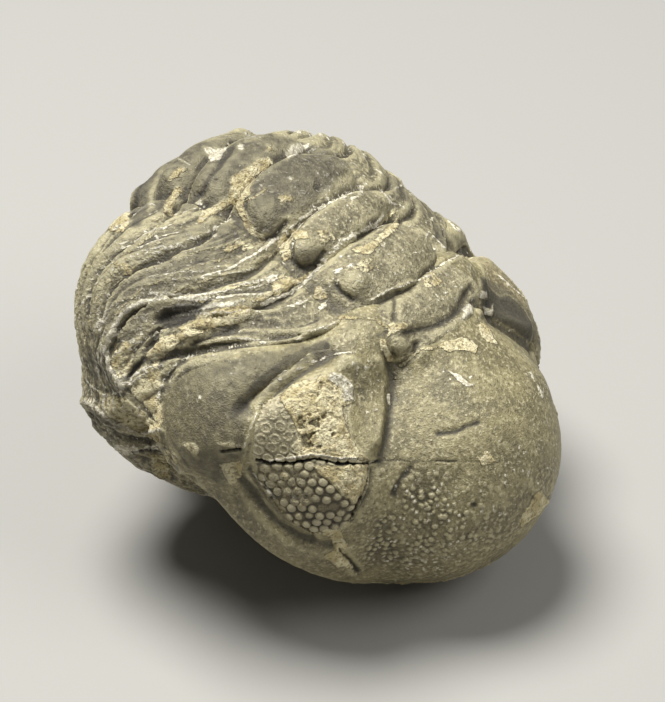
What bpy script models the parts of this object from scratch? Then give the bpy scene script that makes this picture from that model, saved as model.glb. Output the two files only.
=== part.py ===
"""Enrolled trilobite fossil, about 47 mm wide, lying on its front with its right side up.

The fossil is one lump of stone: the head shield, the eleven body segments and the tail shield
are all turned to limestone and locked together by the mudstone between them, so it is one solid.
A fine sphere is pushed out to the surface that the functions below describe, thinned to a
light mesh, and cut flat where it rests.

Body axes in millimetres, before the lump is laid down:
    x  towards the animal's right side
    y  forward, towards the front of the head
    z  up, out of the back of the head
An angle around the roll runs from the top of the head (0) back over the body and under to the tail.
"""

import math

import bmesh
import bpy
import numpy as np
from mathutils import Euler

NAME = "trilobite_fossil"
MM = 0.001

# How the lump lies on the table: the turns about X, Y and Z that lay the body axes down, and
# where the middle of the body axes then is, above the middle of the lump's footprint
LIE_DEGREES = (-55.2, -7.4, -123.8)
BODY_PLACE = (-4.64, 1.27, 12.7)
# Size of the block that cuts the flat spot
GROUND_SIDE = 80.0
GROUND_DEPTH = 20.0

# Mesh
SPHERE_LEVEL = 7
TRIANGLES_WANTED = 8800
SPHERE_CENTRE = (0.0, -1.1, 4.9)
OUTER_REACH = 36.0
INNER_REACH = 3.0

# Roll of the body: the centre that its outline turns about, and the point on each flank
# where the side plates gather
ROLL_CENTRE = (-2.0, 6.0)
FLANK_POINT = (-7.7, 2.5)
FLANK_REACH = 22.3
FLANK_ROUNDNESS = 2.5
# Outline of the rolled body in the middle plane: angle around the roll, distance from its centre
OUTLINE = ((-50, 20.0), (-17, 18.8), (7, 17.9), (26, 16.8), (45, 17.6), (61, 19.5), (83, 23.2),
           (99, 24.4), (112, 23.2), (126, 20.4), (141, 18.6), (158, 18.4), (178, 18.4), (202, 18.2),
           (225, 17.2), (252, 17.0), (271, 17.6), (313, 17.0))
# Half width of the rolled body: angle around the roll, half width
HALF_WIDTH = ((-50, 22.0), (73, 22.3), (113, 21.2), (143, 20.6), (173, 21.5), (203, 19.5),
              (233, 15.0), (263, 12.5), (313, 12.0))
OUTLINE_SOFTNESS = 7.0
# The roll stays this much further in where the head shield covers it
HEAD_CLEARANCE = 3.5

# The raised axis down the middle of the body
AXIS_HALF_WIDTH = 7.8
AXIS_RISE = 2.2
AXIS_DEPTH = 6.5
# Front edge of each of the eleven segments, then of the tail shield and its rings
SEGMENT_EDGES = (-5.0, 14.6, 38.0, 52.6, 71.6, 85.6, 98.0, 112.0, 126.0, 140.0, 154.0, 168.0,
                 182.0, 192.0, 201.0, 209.5, 217.5, 225.0, 232.0, 238.5)
RING_RISE = 0.9
SEAM_DEPTH = 0.8
SEAM_WIDTH = 0.8
NODE_RISE = 0.7
NODE_RADIUS = 1.7
RIB_RISE = 0.45

# Head shield
SHIELD_MIDDLE = -3.0
SHIELD_FRONT = 23.0
SHIELD_BACK = 9.5
SHIELD_HALF_WIDTH = 22.0
SHIELD_HEIGHT = 16.0
SHIELD_FRONT_HEIGHT = 10.5
SHIELD_ROUNDNESS = 2.3
REAR_MARGIN = -6.5
REAR_MARGIN_SWEEP = 3.1
# Genal lobe: the swollen rear corner of the cheek
CORNER_CENTRE = (17.3, -3.4, 9.8)
CORNER_RADII = (6.2, 6.5, 7.6)
# Lobe that ends the occipital ring on each side, beside the neck
NECK_LOBE_CENTRE = (6.3, -3.6, 19.6)
NECK_LOBE_RADII = (4.0, 3.6, 3.2)
# Glabella: the swollen middle of the head
GLABELLA_CENTRE = (10.0, 15.0)
GLABELLA_RADII = (13.0, 12.2, 13.2)
NECK_HALF_WIDTH = 6.6
NECK_TOP = 24.0
# Eyes
EYE_CENTRE = (13.6, 2.4, 14.2)
EYE_RADII = (6.6, 9.2, 7.0)
# Low mound of mudstone on the underside, which the lump stands on
MOUND_CENTRE = (-1.7, 4.6, 2.6)
MOUND_RADII = (11.4, 11.4, 11.4)


def step(x, low, high):
    t = np.clip((x - low) / (high - low), 0.0, 1.0)
    return t * t * (3.0 - 2.0 * t)


def bump(x, middle, width):
    return np.exp(-((x - middle) / width) ** 2)


def join(a, b, softness):
    """Soft union of two bodies given by their signed distances."""
    h = np.clip(0.5 + 0.5 * (b - a) / softness, 0.0, 1.0)
    return b + (a - b) * h - softness * h * (1.0 - h)


def cut(a, b, softness):
    """Soft intersection of two bodies."""
    return -join(-a, -b, softness)


def soft_table(points, softness=OUTLINE_SOFTNESS):
    """A curve through points (angle, value), rounded by a moving average."""
    angle, value = np.array(points, dtype=float).T
    fine = np.arange(angle[0], angle[-1] + 0.5)
    raw = np.interp(fine, angle, value)
    reach = int(3 * softness)
    weights = np.exp(-0.5 * (np.arange(-reach, reach + 1) / softness) ** 2)
    padded = np.pad(raw, reach, mode="edge")
    return fine, np.convolve(padded, weights / weights.sum(), "valid")


OUTLINE_CURVE = soft_table(OUTLINE)
WIDTH_CURVE = soft_table(HALF_WIDTH)


def outline(angle):
    return np.interp(angle, *OUTLINE_CURVE)


def around(y, z):
    """Angle around the roll, from -50 to 310 degrees."""
    angle = np.degrees(np.arctan2(-y, z))
    return np.where(angle < -50.0, angle + 360.0, angle)


def roll_coordinates(x, y, z):
    """Distance from the roll's centre line, which bends towards the flank points, and angle."""
    t = np.clip(np.abs(x) / FLANK_REACH, 0.0, 1.3) ** 2
    dy = y - ROLL_CENTRE[0] - (FLANK_POINT[0] - ROLL_CENTRE[0]) * t
    dz = z - ROLL_CENTRE[1] - (FLANK_POINT[1] - ROLL_CENTRE[1]) * t
    return np.hypot(dy, dz), around(dy, dz)


def flanks(x, y, z):
    """The rolled body without its raised axis."""
    distance, angle = roll_coordinates(x, y, z)
    reach = outline(angle) - AXIS_RISE - HEAD_CLEARANCE * (1.0 - step(angle, 6.0, 15.0))
    half = np.interp(angle, *WIDTH_CURVE)
    p = FLANK_ROUNDNESS
    q = ((distance / reach) ** p + (np.abs(x) / half) ** p) ** (1.0 / p)
    return (q - 1.0) * 18.0


def axis_half_width(angle):
    return AXIS_HALF_WIDTH - 2.3 * step(angle, 73, 203) - 2.0 * step(angle, 203, 263)


def axis(x, y, z):
    """The raised axis, as a rounded band around the roll."""
    dy = y - ROLL_CENTRE[0]
    dz = z - ROLL_CENTRE[1]
    angle = around(dy, dz)
    half = axis_half_width(angle)
    depth = np.maximum(np.hypot(dy, dz) - (outline(angle) - AXIS_DEPTH), 0.0) / AXIS_DEPTH
    q = ((np.abs(x) / half) ** 2.4 + depth ** 2.4) ** (1.0 / 2.4)
    outside = np.where((angle > -9.0) & (angle < 263.0), 0.0, 3.0)
    return (q - 1.0) * half * 0.9 + outside


def margin_level(y):
    """Height of the head shield's lower edge, which rises forward under the eyes."""
    return 5.0 + 0.22 * np.clip(y + 7.0, 0.0, 20.0)


def cheeks(x, y, z):
    """Domed head shield without its glabella and eyes."""
    side = np.abs(x)
    length = np.where(y > SHIELD_MIDDLE, SHIELD_FRONT, SHIELD_BACK)
    height = SHIELD_HEIGHT + (SHIELD_FRONT_HEIGHT - SHIELD_HEIGHT) * step(y, -5.0, 4.0)
    up = z - margin_level(y)
    p = SHIELD_ROUNDNESS
    q = ((side / SHIELD_HALF_WIDTH) ** p + (np.abs(y - SHIELD_MIDDLE) / length) ** p
         + (np.abs(up) / height) ** p) ** (1.0 / p)
    body = (q - 1.0) * 13.0
    rear = REAR_MARGIN - REAR_MARGIN_SWEEP * bump(side, 20.0, 4.5)
    body = cut(body, rear - y, 1.0)
    return cut(body, -up - 0.5, 1.5)


def ellipsoid(x, y, z, centre, radii):
    q = np.sqrt(((x - centre[0]) / radii[0]) ** 2 + ((y - centre[1]) / radii[1]) ** 2
                + ((z - centre[2]) / radii[2]) ** 2)
    return (q - 1.0) * min(radii)


def glabella(x, y, z):
    """Front bulb with a neck running back to the occipital ring."""
    bulb = ellipsoid(x, y, z, (0.0,) + GLABELLA_CENTRE, GLABELLA_RADII)
    along = np.clip((y + 6.0) / 14.0, 0.0, 1.0)
    half = NECK_HALF_WIDTH + 4.0 * along
    top = NECK_TOP + 2.2 * along
    q = np.sqrt((x / half) ** 2 + ((z - (top - 8.0)) / 8.0) ** 2)
    neck = cut(cut((q - 1.0) * 6.5, -3.2 - y, 1.0), y - 8.0, 3.0)
    return join(bulb, neck, 3.5)


def eye(x, y, z):
    """Tall oval eye lobe, the same on both sides."""
    dx = np.abs(np.abs(x) - EYE_CENTRE[0]) / EYE_RADII[0]
    dy = np.abs(y - EYE_CENTRE[1]) / EYE_RADII[1]
    dz = np.abs(z - EYE_CENTRE[2]) / EYE_RADII[2]
    q = (dx ** 2.3 + dy ** 2.3 + dz ** 2.6) ** (1.0 / 2.4)
    return (q - 1.0) * 6.0


def segment_place(angle):
    """How far through its segment an angle is, the angle of its nearer edge, and its length."""
    edges = np.array(SEGMENT_EDGES)
    number = np.clip(np.searchsorted(edges, angle) - 1, 0, len(edges) - 2)
    start = edges[number]
    length = edges[number + 1] - start
    through = np.clip((angle - start) / length, 0.0, 1.0)
    nearer = np.where(through < 0.5, start, start + length)
    return through, nearer, length


def pleural_lag(side):
    """How far the side plates' edges swing round from the ring edges, in degrees."""
    return -5.0 * bump(side, 12.0, 3.5) + 26.0 * step(side, 15.5, 24.0)


def segment_relief(x, y, z):
    """Rings, furrows and side plates, as a height above the plain roll."""
    side = np.abs(x)
    distance, angle = roll_coordinates(x, y, z)
    half = axis_half_width(angle)
    on_axis = 1.0 - step(side, half - 0.8, half + 0.8)
    shifted = angle - pleural_lag(side) * (1.0 - on_axis)
    through, nearer, length = segment_place(shifted)
    gap = np.radians(np.abs(shifted - nearer)) * np.maximum(distance, 6.0)
    wide = step(np.radians(length) * distance, 0.6, 3.2)
    seam = -SEAM_DEPTH * bump(gap, 0.0, SEAM_WIDTH)
    ring = RING_RISE * (np.sin(math.pi * through) ** 0.6 - 0.6)
    tail = step(angle, 172.0, 192.0)
    node = NODE_RISE * bump(side, half - 1.3, NODE_RADIUS) * bump(through, 0.45, 0.3) * (1.0 - tail)
    furrow_at = 0.30 + 0.35 * step(side, 8.0, 18.0)
    band = RIB_RISE * (np.sin(math.pi * through) ** 0.6 - 0.6)
    band = band - 0.45 * bump(through, furrow_at, 0.13) * step(side, 8.0, 10.5) * (1.0 - tail)
    ditch = -0.6 * bump(side, half + 0.3, 0.9)
    inside = step(angle, -9.0, -3.0) * (1.0 - step(angle, 238.0, 252.0)) * step(distance, 2.0, 7.0)
    band = (band + seam * (1.0 - 0.5 * tail)) * wide
    relief = on_axis * (ring + node + seam) + (1.0 - on_axis) * band + ditch
    return relief * inside


def head_relief(x, y, z):
    """Furrows of the head shield, as a height above its plain domes."""
    side = np.abs(x)
    rear_furrow = -4.3 + 0.9 * step(side, 15.0, 22.0)
    open_part = step(side, 7.5, 11.0) * (1.0 - step(side, 17.5, 22.5))
    deep = -1.3 - 0.5 * step(side, 10.0, 15.0)
    relief = deep * bump(y, rear_furrow, 1.0 + 0.5 * step(side, 12.0, 20.0)) * open_part
    relief = relief + 0.5 * bump(y, rear_furrow - 1.9, 0.9) * step(side, 6.0, 9.0)
    neck = 1.0 - step(side, 5.5, 8.0)
    relief = relief - 1.1 * bump(y, -2.9 + 0.02 * side ** 2, 0.8) * neck
    relief = relief - 0.5 * bump(y, 0.9 + 0.03 * side ** 2, 0.6) * neck
    lobe = bump(side, 5.6, 1.4) * bump(y, -1.2, 1.3)
    base = np.hypot((y - 3.5) / 9.0, (z - 16.5) / 4.8)
    socket = bump(base, 1.0, 0.13) * step(side, 14.0, 17.5) * step(21.0 - z, 1.0, 3.0)
    return relief + 0.7 * lobe - 0.8 * socket


def surface(x, y, z):
    """Signed distance, roughly, to the fossil's surface."""
    body = join(flanks(x, y, z), axis(x, y, z), 1.2) - segment_relief(x, y, z)
    shield = join(cheeks(x, y, z), ellipsoid(np.abs(x), y, z, CORNER_CENTRE, CORNER_RADII), 2.0)
    shield = join(shield, ellipsoid(np.abs(x), y, z, NECK_LOBE_CENTRE, NECK_LOBE_RADII), 2.5)
    shield = join(shield, glabella(x, y, z), 1.2)
    shield = join(shield, eye(x, y, z), 1.2) - head_relief(x, y, z)
    mound = ellipsoid(x, y, z, MOUND_CENTRE, MOUND_RADII)
    return join(join(body, mound, 2.5), shield, 0.4)


def reach_along(directions):
    """How far the surface lies from the sphere's centre along each direction."""
    centre = np.array(SPHERE_CENTRE)
    outer = np.full(len(directions), OUTER_REACH)
    inner = np.full(len(directions), INNER_REACH)
    found = np.zeros(len(directions), dtype=bool)
    previous = OUTER_REACH
    for reach in np.linspace(OUTER_REACH, INNER_REACH, 34)[1:]:
        inside = surface(*(centre + directions * reach).T) < 0.0
        fresh = inside & ~found
        outer[fresh] = previous
        inner[fresh] = reach
        found |= inside
        previous = reach
    for _ in range(22):
        middle = 0.5 * (outer + inner)
        inside = surface(*(centre + directions * middle[:, None]).T) < 0.0
        inner = np.where(inside, middle, inner)
        outer = np.where(inside, outer, middle)
    return 0.5 * (outer + inner)


def lay_down(points):
    """From body axes in millimetres to the table's axes in metres."""
    turn = np.array(Euler([math.radians(angle) for angle in LIE_DEGREES]).to_matrix())
    return (points @ turn.T + np.array(BODY_PLACE)) * MM


def fossil_mesh():
    """A fine sphere, pushed out to the fossil's surface."""
    bm = bmesh.new()
    bmesh.ops.create_icosphere(bm, subdivisions=SPHERE_LEVEL, radius=1.0)
    directions = np.array([vert.co for vert in bm.verts])
    directions /= np.linalg.norm(directions, axis=1)[:, None]
    points = lay_down(np.array(SPHERE_CENTRE) + directions * reach_along(directions)[:, None])
    for vert, point in zip(bm.verts, points):
        vert.co = point
    mesh = bpy.data.meshes.new(NAME)
    bm.to_mesh(mesh)
    bm.free()
    return mesh


def ground_mesh():
    """A block whose top is the table."""
    bm = bmesh.new()
    bmesh.ops.create_cube(bm, size=1.0)
    bmesh.ops.translate(bm, verts=bm.verts, vec=(0.0, 0.0, -0.5))
    bmesh.ops.scale(bm, verts=bm.verts, vec=(GROUND_SIDE * MM, GROUND_SIDE * MM, GROUND_DEPTH * MM))
    mesh = bpy.data.meshes.new("ground")
    bm.to_mesh(mesh)
    bm.free()
    return mesh


def stone_material():
    """Dull olive-grey limestone."""
    material = bpy.data.materials.new("limestone_fossil")
    material.use_nodes = True
    shader = material.node_tree.nodes["Principled BSDF"]
    shader.inputs["Base Color"].default_value = (0.19, 0.175, 0.13, 1.0)
    shader.inputs["Roughness"].default_value = 0.6
    shader.inputs["Metallic"].default_value = 0.0
    return material


def new_collection(name):
    collection = bpy.data.collections.new(name)
    bpy.context.scene.collection.children.link(collection)
    return collection


def main():
    for old in list(bpy.data.objects):
        bpy.data.objects.remove(old, do_unlink=True)

    cutters = new_collection("cutters")
    cutters.hide_render = True
    ground = bpy.data.objects.new("ground_cutter", ground_mesh())
    ground.display_type = "WIRE"
    cutters.objects.link(ground)

    fossil = bpy.data.objects.new(NAME, fossil_mesh())
    fossil.data.materials.append(stone_material())
    new_collection(NAME).objects.link(fossil)

    thin = fossil.modifiers.new("thin_mesh", "DECIMATE")
    thin.ratio = TRIANGLES_WANTED / len(fossil.data.polygons)
    flat = fossil.modifiers.new("flat_spot", "BOOLEAN")
    flat.operation = "DIFFERENCE"
    flat.solver = "EXACT"
    flat.object = ground


if __name__ == "__main__":
    main()
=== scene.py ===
# %% [markdown]
# # An enrolled trilobite fossil
#
# A trilobite that rolled itself up, was buried in lime mud and turned to stone. This lesson builds
# its looks: the rolled body with its rings and ribs, the domed head, the two eyes with their
# lenses, and the crusts of mudstone and calcite that the cleaning left behind.
#
# The whole lump is described by functions that say how far a point is from the surface. That
# suits a worn fossil better than a cage of faces, because every furrow blends into the next.
# A fine sphere is pushed out until it meets that surface, and the fine marks are added on top.

# %% Load the frame
import itertools
import math

import bmesh
import bpy
import numpy as np
from mathutils import Euler, Matrix, Vector


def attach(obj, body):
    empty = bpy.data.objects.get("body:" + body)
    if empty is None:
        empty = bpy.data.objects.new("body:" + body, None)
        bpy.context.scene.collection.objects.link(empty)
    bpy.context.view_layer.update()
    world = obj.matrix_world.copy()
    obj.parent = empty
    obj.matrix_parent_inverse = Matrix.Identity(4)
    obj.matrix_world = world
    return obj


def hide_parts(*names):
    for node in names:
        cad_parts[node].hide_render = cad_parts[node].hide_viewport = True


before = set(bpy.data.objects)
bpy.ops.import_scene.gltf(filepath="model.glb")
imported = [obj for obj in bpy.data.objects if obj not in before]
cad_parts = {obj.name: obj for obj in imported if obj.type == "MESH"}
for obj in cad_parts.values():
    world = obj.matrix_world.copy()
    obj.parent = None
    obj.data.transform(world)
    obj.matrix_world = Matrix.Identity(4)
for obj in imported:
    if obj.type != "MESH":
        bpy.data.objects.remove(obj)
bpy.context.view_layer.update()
NODE = "trilobite_fossil"
MM = 0.001

# %% [markdown]
# ## Where things are
#
# The animal has its own axes, in millimetres: x to its right, y forward and z up out of the back
# of its head. It lies on the table on its front, turned to one side, so its axes are turned by the
# same angles as in the solid model. Keeping both in one place lets every later step think in the
# animal's own axes. Lengths are millimetres and angles degrees, unless a name says otherwise.

# %% The animal's axes and the table's
LIE_DEGREES = (-55.2, -7.4, -123.8)
BODY_PLACE = np.array((-4.64, 1.27, 12.7))
TURN = np.array(Euler([math.radians(angle) for angle in LIE_DEGREES]).to_matrix())


def to_table(points):
    """From the animal's axes to the table's, both in millimetres."""
    return points @ TURN.T + BODY_PLACE


def to_animal(points):
    return (points - BODY_PLACE) @ TURN


print("the middle of the animal's axes is", BODY_PLACE[2], "mm above the table")

# %% [markdown]
# ## The camera
#
# The photograph was taken from about 36 degrees above the table with a long lens, so the far side
# is hardly smaller than the near side. Knowing the camera from the start has a second use: a mark
# that was read off the picture can be thrown onto the surface where it belongs.

# %% The camera, and the way from the surface to the picture
PICTURE_SIZE = (665, 702)
CAMERA_HEIGHT_DEGREES = 36.0
CAMERA_DISTANCE = 280.0
LOOK_AT = np.array((1.21, 3.8, 16.18))
PIXELS_PER_SLOPE = 2800.0
SENSOR_MM = 36.0

tilt = math.radians(CAMERA_HEIGHT_DEGREES)
CAMERA_AXES = np.array(((1.0, 0.0, 0.0),
                        (0.0, math.sin(tilt), math.cos(tilt)),
                        (0.0, -math.cos(tilt), math.sin(tilt))))


def picture_place(points):
    """Where points in the animal's axes show in the picture, in pixels from its top left corner."""
    seen = (to_table(points) - LOOK_AT) @ CAMERA_AXES.T
    scale = PIXELS_PER_SLOPE / (CAMERA_DISTANCE - seen[:, 2])
    return np.stack((PICTURE_SIZE[0] / 2 + seen[:, 0] * scale, PICTURE_SIZE[1] / 2 - seen[:, 1] * scale), 1)


def make_camera():
    data = bpy.data.cameras.new("camera")
    data.sensor_width = SENSOR_MM
    data.lens = PIXELS_PER_SLOPE * SENSOR_MM / max(PICTURE_SIZE)
    camera = bpy.data.objects.new("camera", data)
    bpy.context.scene.collection.objects.link(camera)
    place = (LOOK_AT + CAMERA_DISTANCE * CAMERA_AXES[2]) * MM
    camera.matrix_world = Matrix.Translation(Vector(place)) @ Matrix(CAMERA_AXES.T.tolist()).to_4x4()
    bpy.context.scene.camera = camera
    return camera


camera = make_camera()
print("camera with a", round(camera.data.lens, 1), "mm lens")

# %% [markdown]
# ## Tools for shaping
#
# A few small functions do nearly all the shaping. `step` fades something in, `bump` places a ridge
# or a furrow, and `join` and `cut` put two bodies together with a soft edge, like two lumps of
# clay pressed together.

# %% Shaping tools
def step(x, low, high):
    t = np.clip((x - low) / (high - low), 0.0, 1.0)
    return t * t * (3.0 - 2.0 * t)


def bump(x, middle, width):
    return np.exp(-((x - middle) / width) ** 2)


def join(a, b, softness):
    """Soft union of two bodies given by their signed distances."""
    h = np.clip(0.5 + 0.5 * (b - a) / softness, 0.0, 1.0)
    return b + (a - b) * h - softness * h * (1.0 - h)


def cut(a, b, softness):
    """Soft intersection of two bodies."""
    return -join(-a, -b, softness)


def ellipsoid(x, y, z, centre, radii):
    q = np.sqrt(((x - centre[0]) / radii[0]) ** 2 + ((y - centre[1]) / radii[1]) ** 2
                + ((z - centre[2]) / radii[2]) ** 2)
    return (q - 1.0) * min(radii)


print("a step half way up is", step(0.5, 0.0, 1.0))

# %% [markdown]
# ## The rolled body
#
# Eleven segments and a tail shield are bent round until the tail tucks under the head. Each
# segment is a ring over the middle and a rib on each side. The roll isn't round, so it could be
# carved from a cylinder only with much trimming. Here it follows an outline instead: a distance
# from the roll's centre for each angle around it, read off the photograph and softened.

# %% The roll's outline
ROLL_CENTRE = (-2.0, 6.0)
OUTLINE = ((-50, 20.0), (-17, 18.8), (7, 17.9), (26, 16.8), (45, 17.6), (61, 19.5), (83, 23.2),
           (99, 24.4), (112, 23.2), (126, 20.4), (141, 18.6), (158, 18.4), (178, 18.4), (202, 18.2),
           (225, 17.2), (252, 17.0), (271, 17.6), (313, 17.0))
HALF_WIDTH = ((-50, 22.0), (73, 22.3), (113, 21.2), (143, 20.6), (173, 21.5), (203, 19.5),
              (233, 15.0), (263, 12.5), (313, 12.0))
OUTLINE_SOFTNESS = 7.0


def soft_table(points):
    """A curve through points (angle, value), rounded by a moving average."""
    angle, value = np.array(points, dtype=float).T
    fine = np.arange(angle[0], angle[-1] + 0.5)
    raw = np.interp(fine, angle, value)
    reach = int(3 * OUTLINE_SOFTNESS)
    weights = np.exp(-0.5 * (np.arange(-reach, reach + 1) / OUTLINE_SOFTNESS) ** 2)
    padded = np.pad(raw, reach, mode="edge")
    return fine, np.convolve(padded, weights / weights.sum(), "valid")


OUTLINE_CURVE = soft_table(OUTLINE)
WIDTH_CURVE = soft_table(HALF_WIDTH)


def outline(angle):
    return np.interp(angle, *OUTLINE_CURVE)


def around(y, z):
    """Angle around the roll: 0 on top of the head, growing over the back to the tail."""
    angle = np.degrees(np.arctan2(-y, z))
    return np.where(angle < OUTLINE[0][0], angle + 360.0, angle)


print("the roll is", round(float(outline(99.0)), 1), "mm deep at the back")

# %% [markdown]
# ### Flanks and the raised middle
#
# On each flank the ribs gather towards one point, where their tips slide under the cheeks. So the
# line that the segments turn around isn't straight: it bends towards that point on both sides. The
# raised middle, the axis, is a rounded band that runs around the roll and narrows to the tail.

# %% The plain roll
FLANK_POINT = (-7.7, 2.5)
FLANK_REACH = 22.3
BEND_LIMIT = 1.3
FLANK_ROUNDNESS = 2.5
FLANK_SCALE = 18.0
UNDER_HEAD = (6.0, 15.0)
HEAD_CLEARANCE = 3.5
AXIS_HALF_WIDTH = 7.8
AXIS_NARROWING = ((73.0, 203.0, 2.3), (203.0, 263.0, 2.0))
AXIS_ENDS = (-9.0, 263.0)
AXIS_RISE = 2.2
AXIS_DEPTH = 6.5
AXIS_ROUNDNESS = 2.4
AXIS_SCALE = 0.9
PAST_END = 3.0


def roll_coordinates(x, y, z):
    """Distance from the roll's centre line, which bends towards the flank points, and angle."""
    t = np.clip(np.abs(x) / FLANK_REACH, 0.0, BEND_LIMIT) ** 2
    dy = y - ROLL_CENTRE[0] - (FLANK_POINT[0] - ROLL_CENTRE[0]) * t
    dz = z - ROLL_CENTRE[1] - (FLANK_POINT[1] - ROLL_CENTRE[1]) * t
    return np.hypot(dy, dz), around(dy, dz)


def flanks(x, y, z):
    """The rolled body without its raised middle, lower where the head covers it."""
    distance, angle = roll_coordinates(x, y, z)
    reach = outline(angle) - AXIS_RISE - HEAD_CLEARANCE * (1.0 - step(angle, *UNDER_HEAD))
    half = np.interp(angle, *WIDTH_CURVE)
    p = FLANK_ROUNDNESS
    q = ((distance / reach) ** p + (np.abs(x) / half) ** p) ** (1.0 / p)
    return (q - 1.0) * FLANK_SCALE


def axis_half_width(angle):
    half = AXIS_HALF_WIDTH
    for start, end, loss in AXIS_NARROWING:
        half = half - loss * step(angle, start, end)
    return half


def axis(x, y, z):
    """The raised middle, as a rounded band around the roll."""
    dy = y - ROLL_CENTRE[0]
    dz = z - ROLL_CENTRE[1]
    angle = around(dy, dz)
    half = axis_half_width(angle)
    depth = np.maximum(np.hypot(dy, dz) - (outline(angle) - AXIS_DEPTH), 0.0) / AXIS_DEPTH
    p = AXIS_ROUNDNESS
    q = ((np.abs(x) / half) ** p + depth ** p) ** (1.0 / p)
    beyond = np.where((angle > AXIS_ENDS[0]) & (angle < AXIS_ENDS[1]), 0.0, PAST_END)
    return (q - 1.0) * half * AXIS_SCALE + beyond


print("the axis is", round(float(2.0 * axis_half_width(263.0)), 1), "mm wide at the tail")

# %% [markdown]
# ### Rings and ribs
#
# A segment's ring is a smooth bolster with a knob at each end, and a narrow furrow between it and
# the next. Its rib has a furrow of its own that runs aslant, so each rib reads as two bands. The
# ribs sweep backwards towards their tips, which a lag in the angle gives without a second mesh.

# %% Where each segment lies
SEGMENT_EDGES = (-5.0, 14.6, 38.0, 52.6, 71.6, 85.6, 98.0, 112.0, 126.0, 140.0, 154.0, 168.0,
                 182.0, 192.0, 201.0, 209.5, 217.5, 225.0, 232.0, 238.5)
AXIS_EDGE_SOFTNESS = 0.8
RIB_SWING_BACK = 5.0
RIB_SWING_ROUND = 26.0
NARROW_RIB = (1.2, 4.0)
LEAST_DISTANCE = 6.0


def segment_place(angle):
    """How far through its segment an angle is, the angle of its nearer edge, and its length."""
    edges = np.array(SEGMENT_EDGES)
    number = np.clip(np.searchsorted(edges, angle) - 1, 0, len(edges) - 2)
    start = edges[number]
    length = edges[number + 1] - start
    through = np.clip((angle - start) / length, 0.0, 1.0)
    nearer = np.where(through < 0.5, start, start + length)
    return through, nearer, length


def rib_lag(side):
    """How far the ribs' edges swing round from the ring edges, in degrees."""
    return -RIB_SWING_BACK * bump(side, 12.0, 3.5) + RIB_SWING_ROUND * step(side, 15.5, 24.0)


def seam_place(x, y, z):
    """Distance to the nearest seam in mm, how far through its segment, whether on a ring, and how
    fully the relief shows, which fades where the ribs crowd together."""
    side = np.abs(x)
    distance, angle = roll_coordinates(x, y, z)
    half = axis_half_width(angle)
    on_axis = 1.0 - step(side, half - AXIS_EDGE_SOFTNESS, half + AXIS_EDGE_SOFTNESS)
    shifted = angle - rib_lag(side) * (1.0 - on_axis)
    through, nearer, length = segment_place(shifted)
    gap = np.radians(np.abs(shifted - nearer)) * np.maximum(distance, LEAST_DISTANCE)
    wide = step(np.radians(length) * distance, *NARROW_RIB)
    return gap, through, on_axis, wide


print(len(SEGMENT_EDGES) - 1, "rings, counting the neck ring and those of the tail")

# %% The relief of rings and ribs
RING_RISE = 0.9
RING_FLATNESS = 0.6
SEAM_DEPTH = 0.5
SEAM_WIDTH = 0.42
KNOB_RISE = 0.7
KNOB_RADIUS = 1.7
KNOB_INSET = 1.3
RIB_RISE = 0.26
RIB_FURROW_DEPTH = 0.2
RIB_FURROW_WIDTH = 0.13
DITCH_DEPTH = 0.6
DITCH_WIDTH = 0.9
TAIL_STARTS = (172.0, 192.0)
RELIEF_STARTS = (-9.0, -3.0)
RELIEF_ENDS = (238.0, 252.0)


def bolster(through, rise):
    """A rounded rise over the length of a segment, level on the whole."""
    return rise * (np.sin(math.pi * through) ** RING_FLATNESS - RING_FLATNESS)


def segment_relief(x, y, z):
    """Rings, furrows and ribs, as a height above the plain roll."""
    side = np.abs(x)
    distance, angle = roll_coordinates(x, y, z)
    half = axis_half_width(angle)
    gap, through, on_axis, wide = seam_place(x, y, z)
    tail = step(angle, *TAIL_STARTS)
    seam = -SEAM_DEPTH * bump(gap, 0.0, SEAM_WIDTH)
    knob = KNOB_RISE * bump(side, half - KNOB_INSET, KNOB_RADIUS) * bump(through, 0.45, 0.3) * (1.0 - tail)
    furrow_at = 0.30 + 0.35 * step(side, 8.0, 18.0)
    furrow = RIB_FURROW_DEPTH * bump(through, furrow_at, RIB_FURROW_WIDTH) * step(side, 8.0, 10.5)
    band = (bolster(through, RIB_RISE) - furrow * (1.0 - tail) + seam * (1.0 - 0.5 * tail)) * wide
    ditch = -DITCH_DEPTH * bump(side, half + 0.3, DITCH_WIDTH)
    inside = step(angle, *RELIEF_STARTS) * (1.0 - step(angle, *RELIEF_ENDS)) * step(distance, 2.0, 7.0)
    relief = on_axis * (bolster(through, RING_RISE) + knob + seam) + (1.0 - on_axis) * band + ditch
    return relief * inside


sample_heights = segment_relief(np.zeros(2), np.array((-2.0, -26.0)), np.array((24.0, 6.0)))
print("relief at two places on the rings, in mm:", sample_heights.round(2))

# %% The body as one solid
MOUND_CENTRE = (-1.7, 4.6, 2.6)
MOUND_RADII = (11.4, 11.4, 11.4)
AXIS_BLEND = 1.2
MOUND_BLEND = 2.5


def body_solid(x, y, z):
    """The rolled body, with the mound of mudstone that it stands on."""
    body = join(flanks(x, y, z), axis(x, y, z), AXIS_BLEND) - segment_relief(x, y, z)
    return join(body, ellipsoid(x, y, z, MOUND_CENTRE, MOUND_RADII), MOUND_BLEND)


print("the mound under it is", 2 * MOUND_RADII[0], "mm wide before the rest is joined to it")

# %% [markdown]
# ## The head
#
# The head shield is a low dome with a swollen middle, the glabella, that bulges past its front.
# Its rear corners are swollen too, and a furrow runs along its rear rim. The eyes are tall oval
# lobes on the cheeks. Each of them is a dome with rounder or squarer shoulders, so one formula
# with another exponent makes them all.

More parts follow.
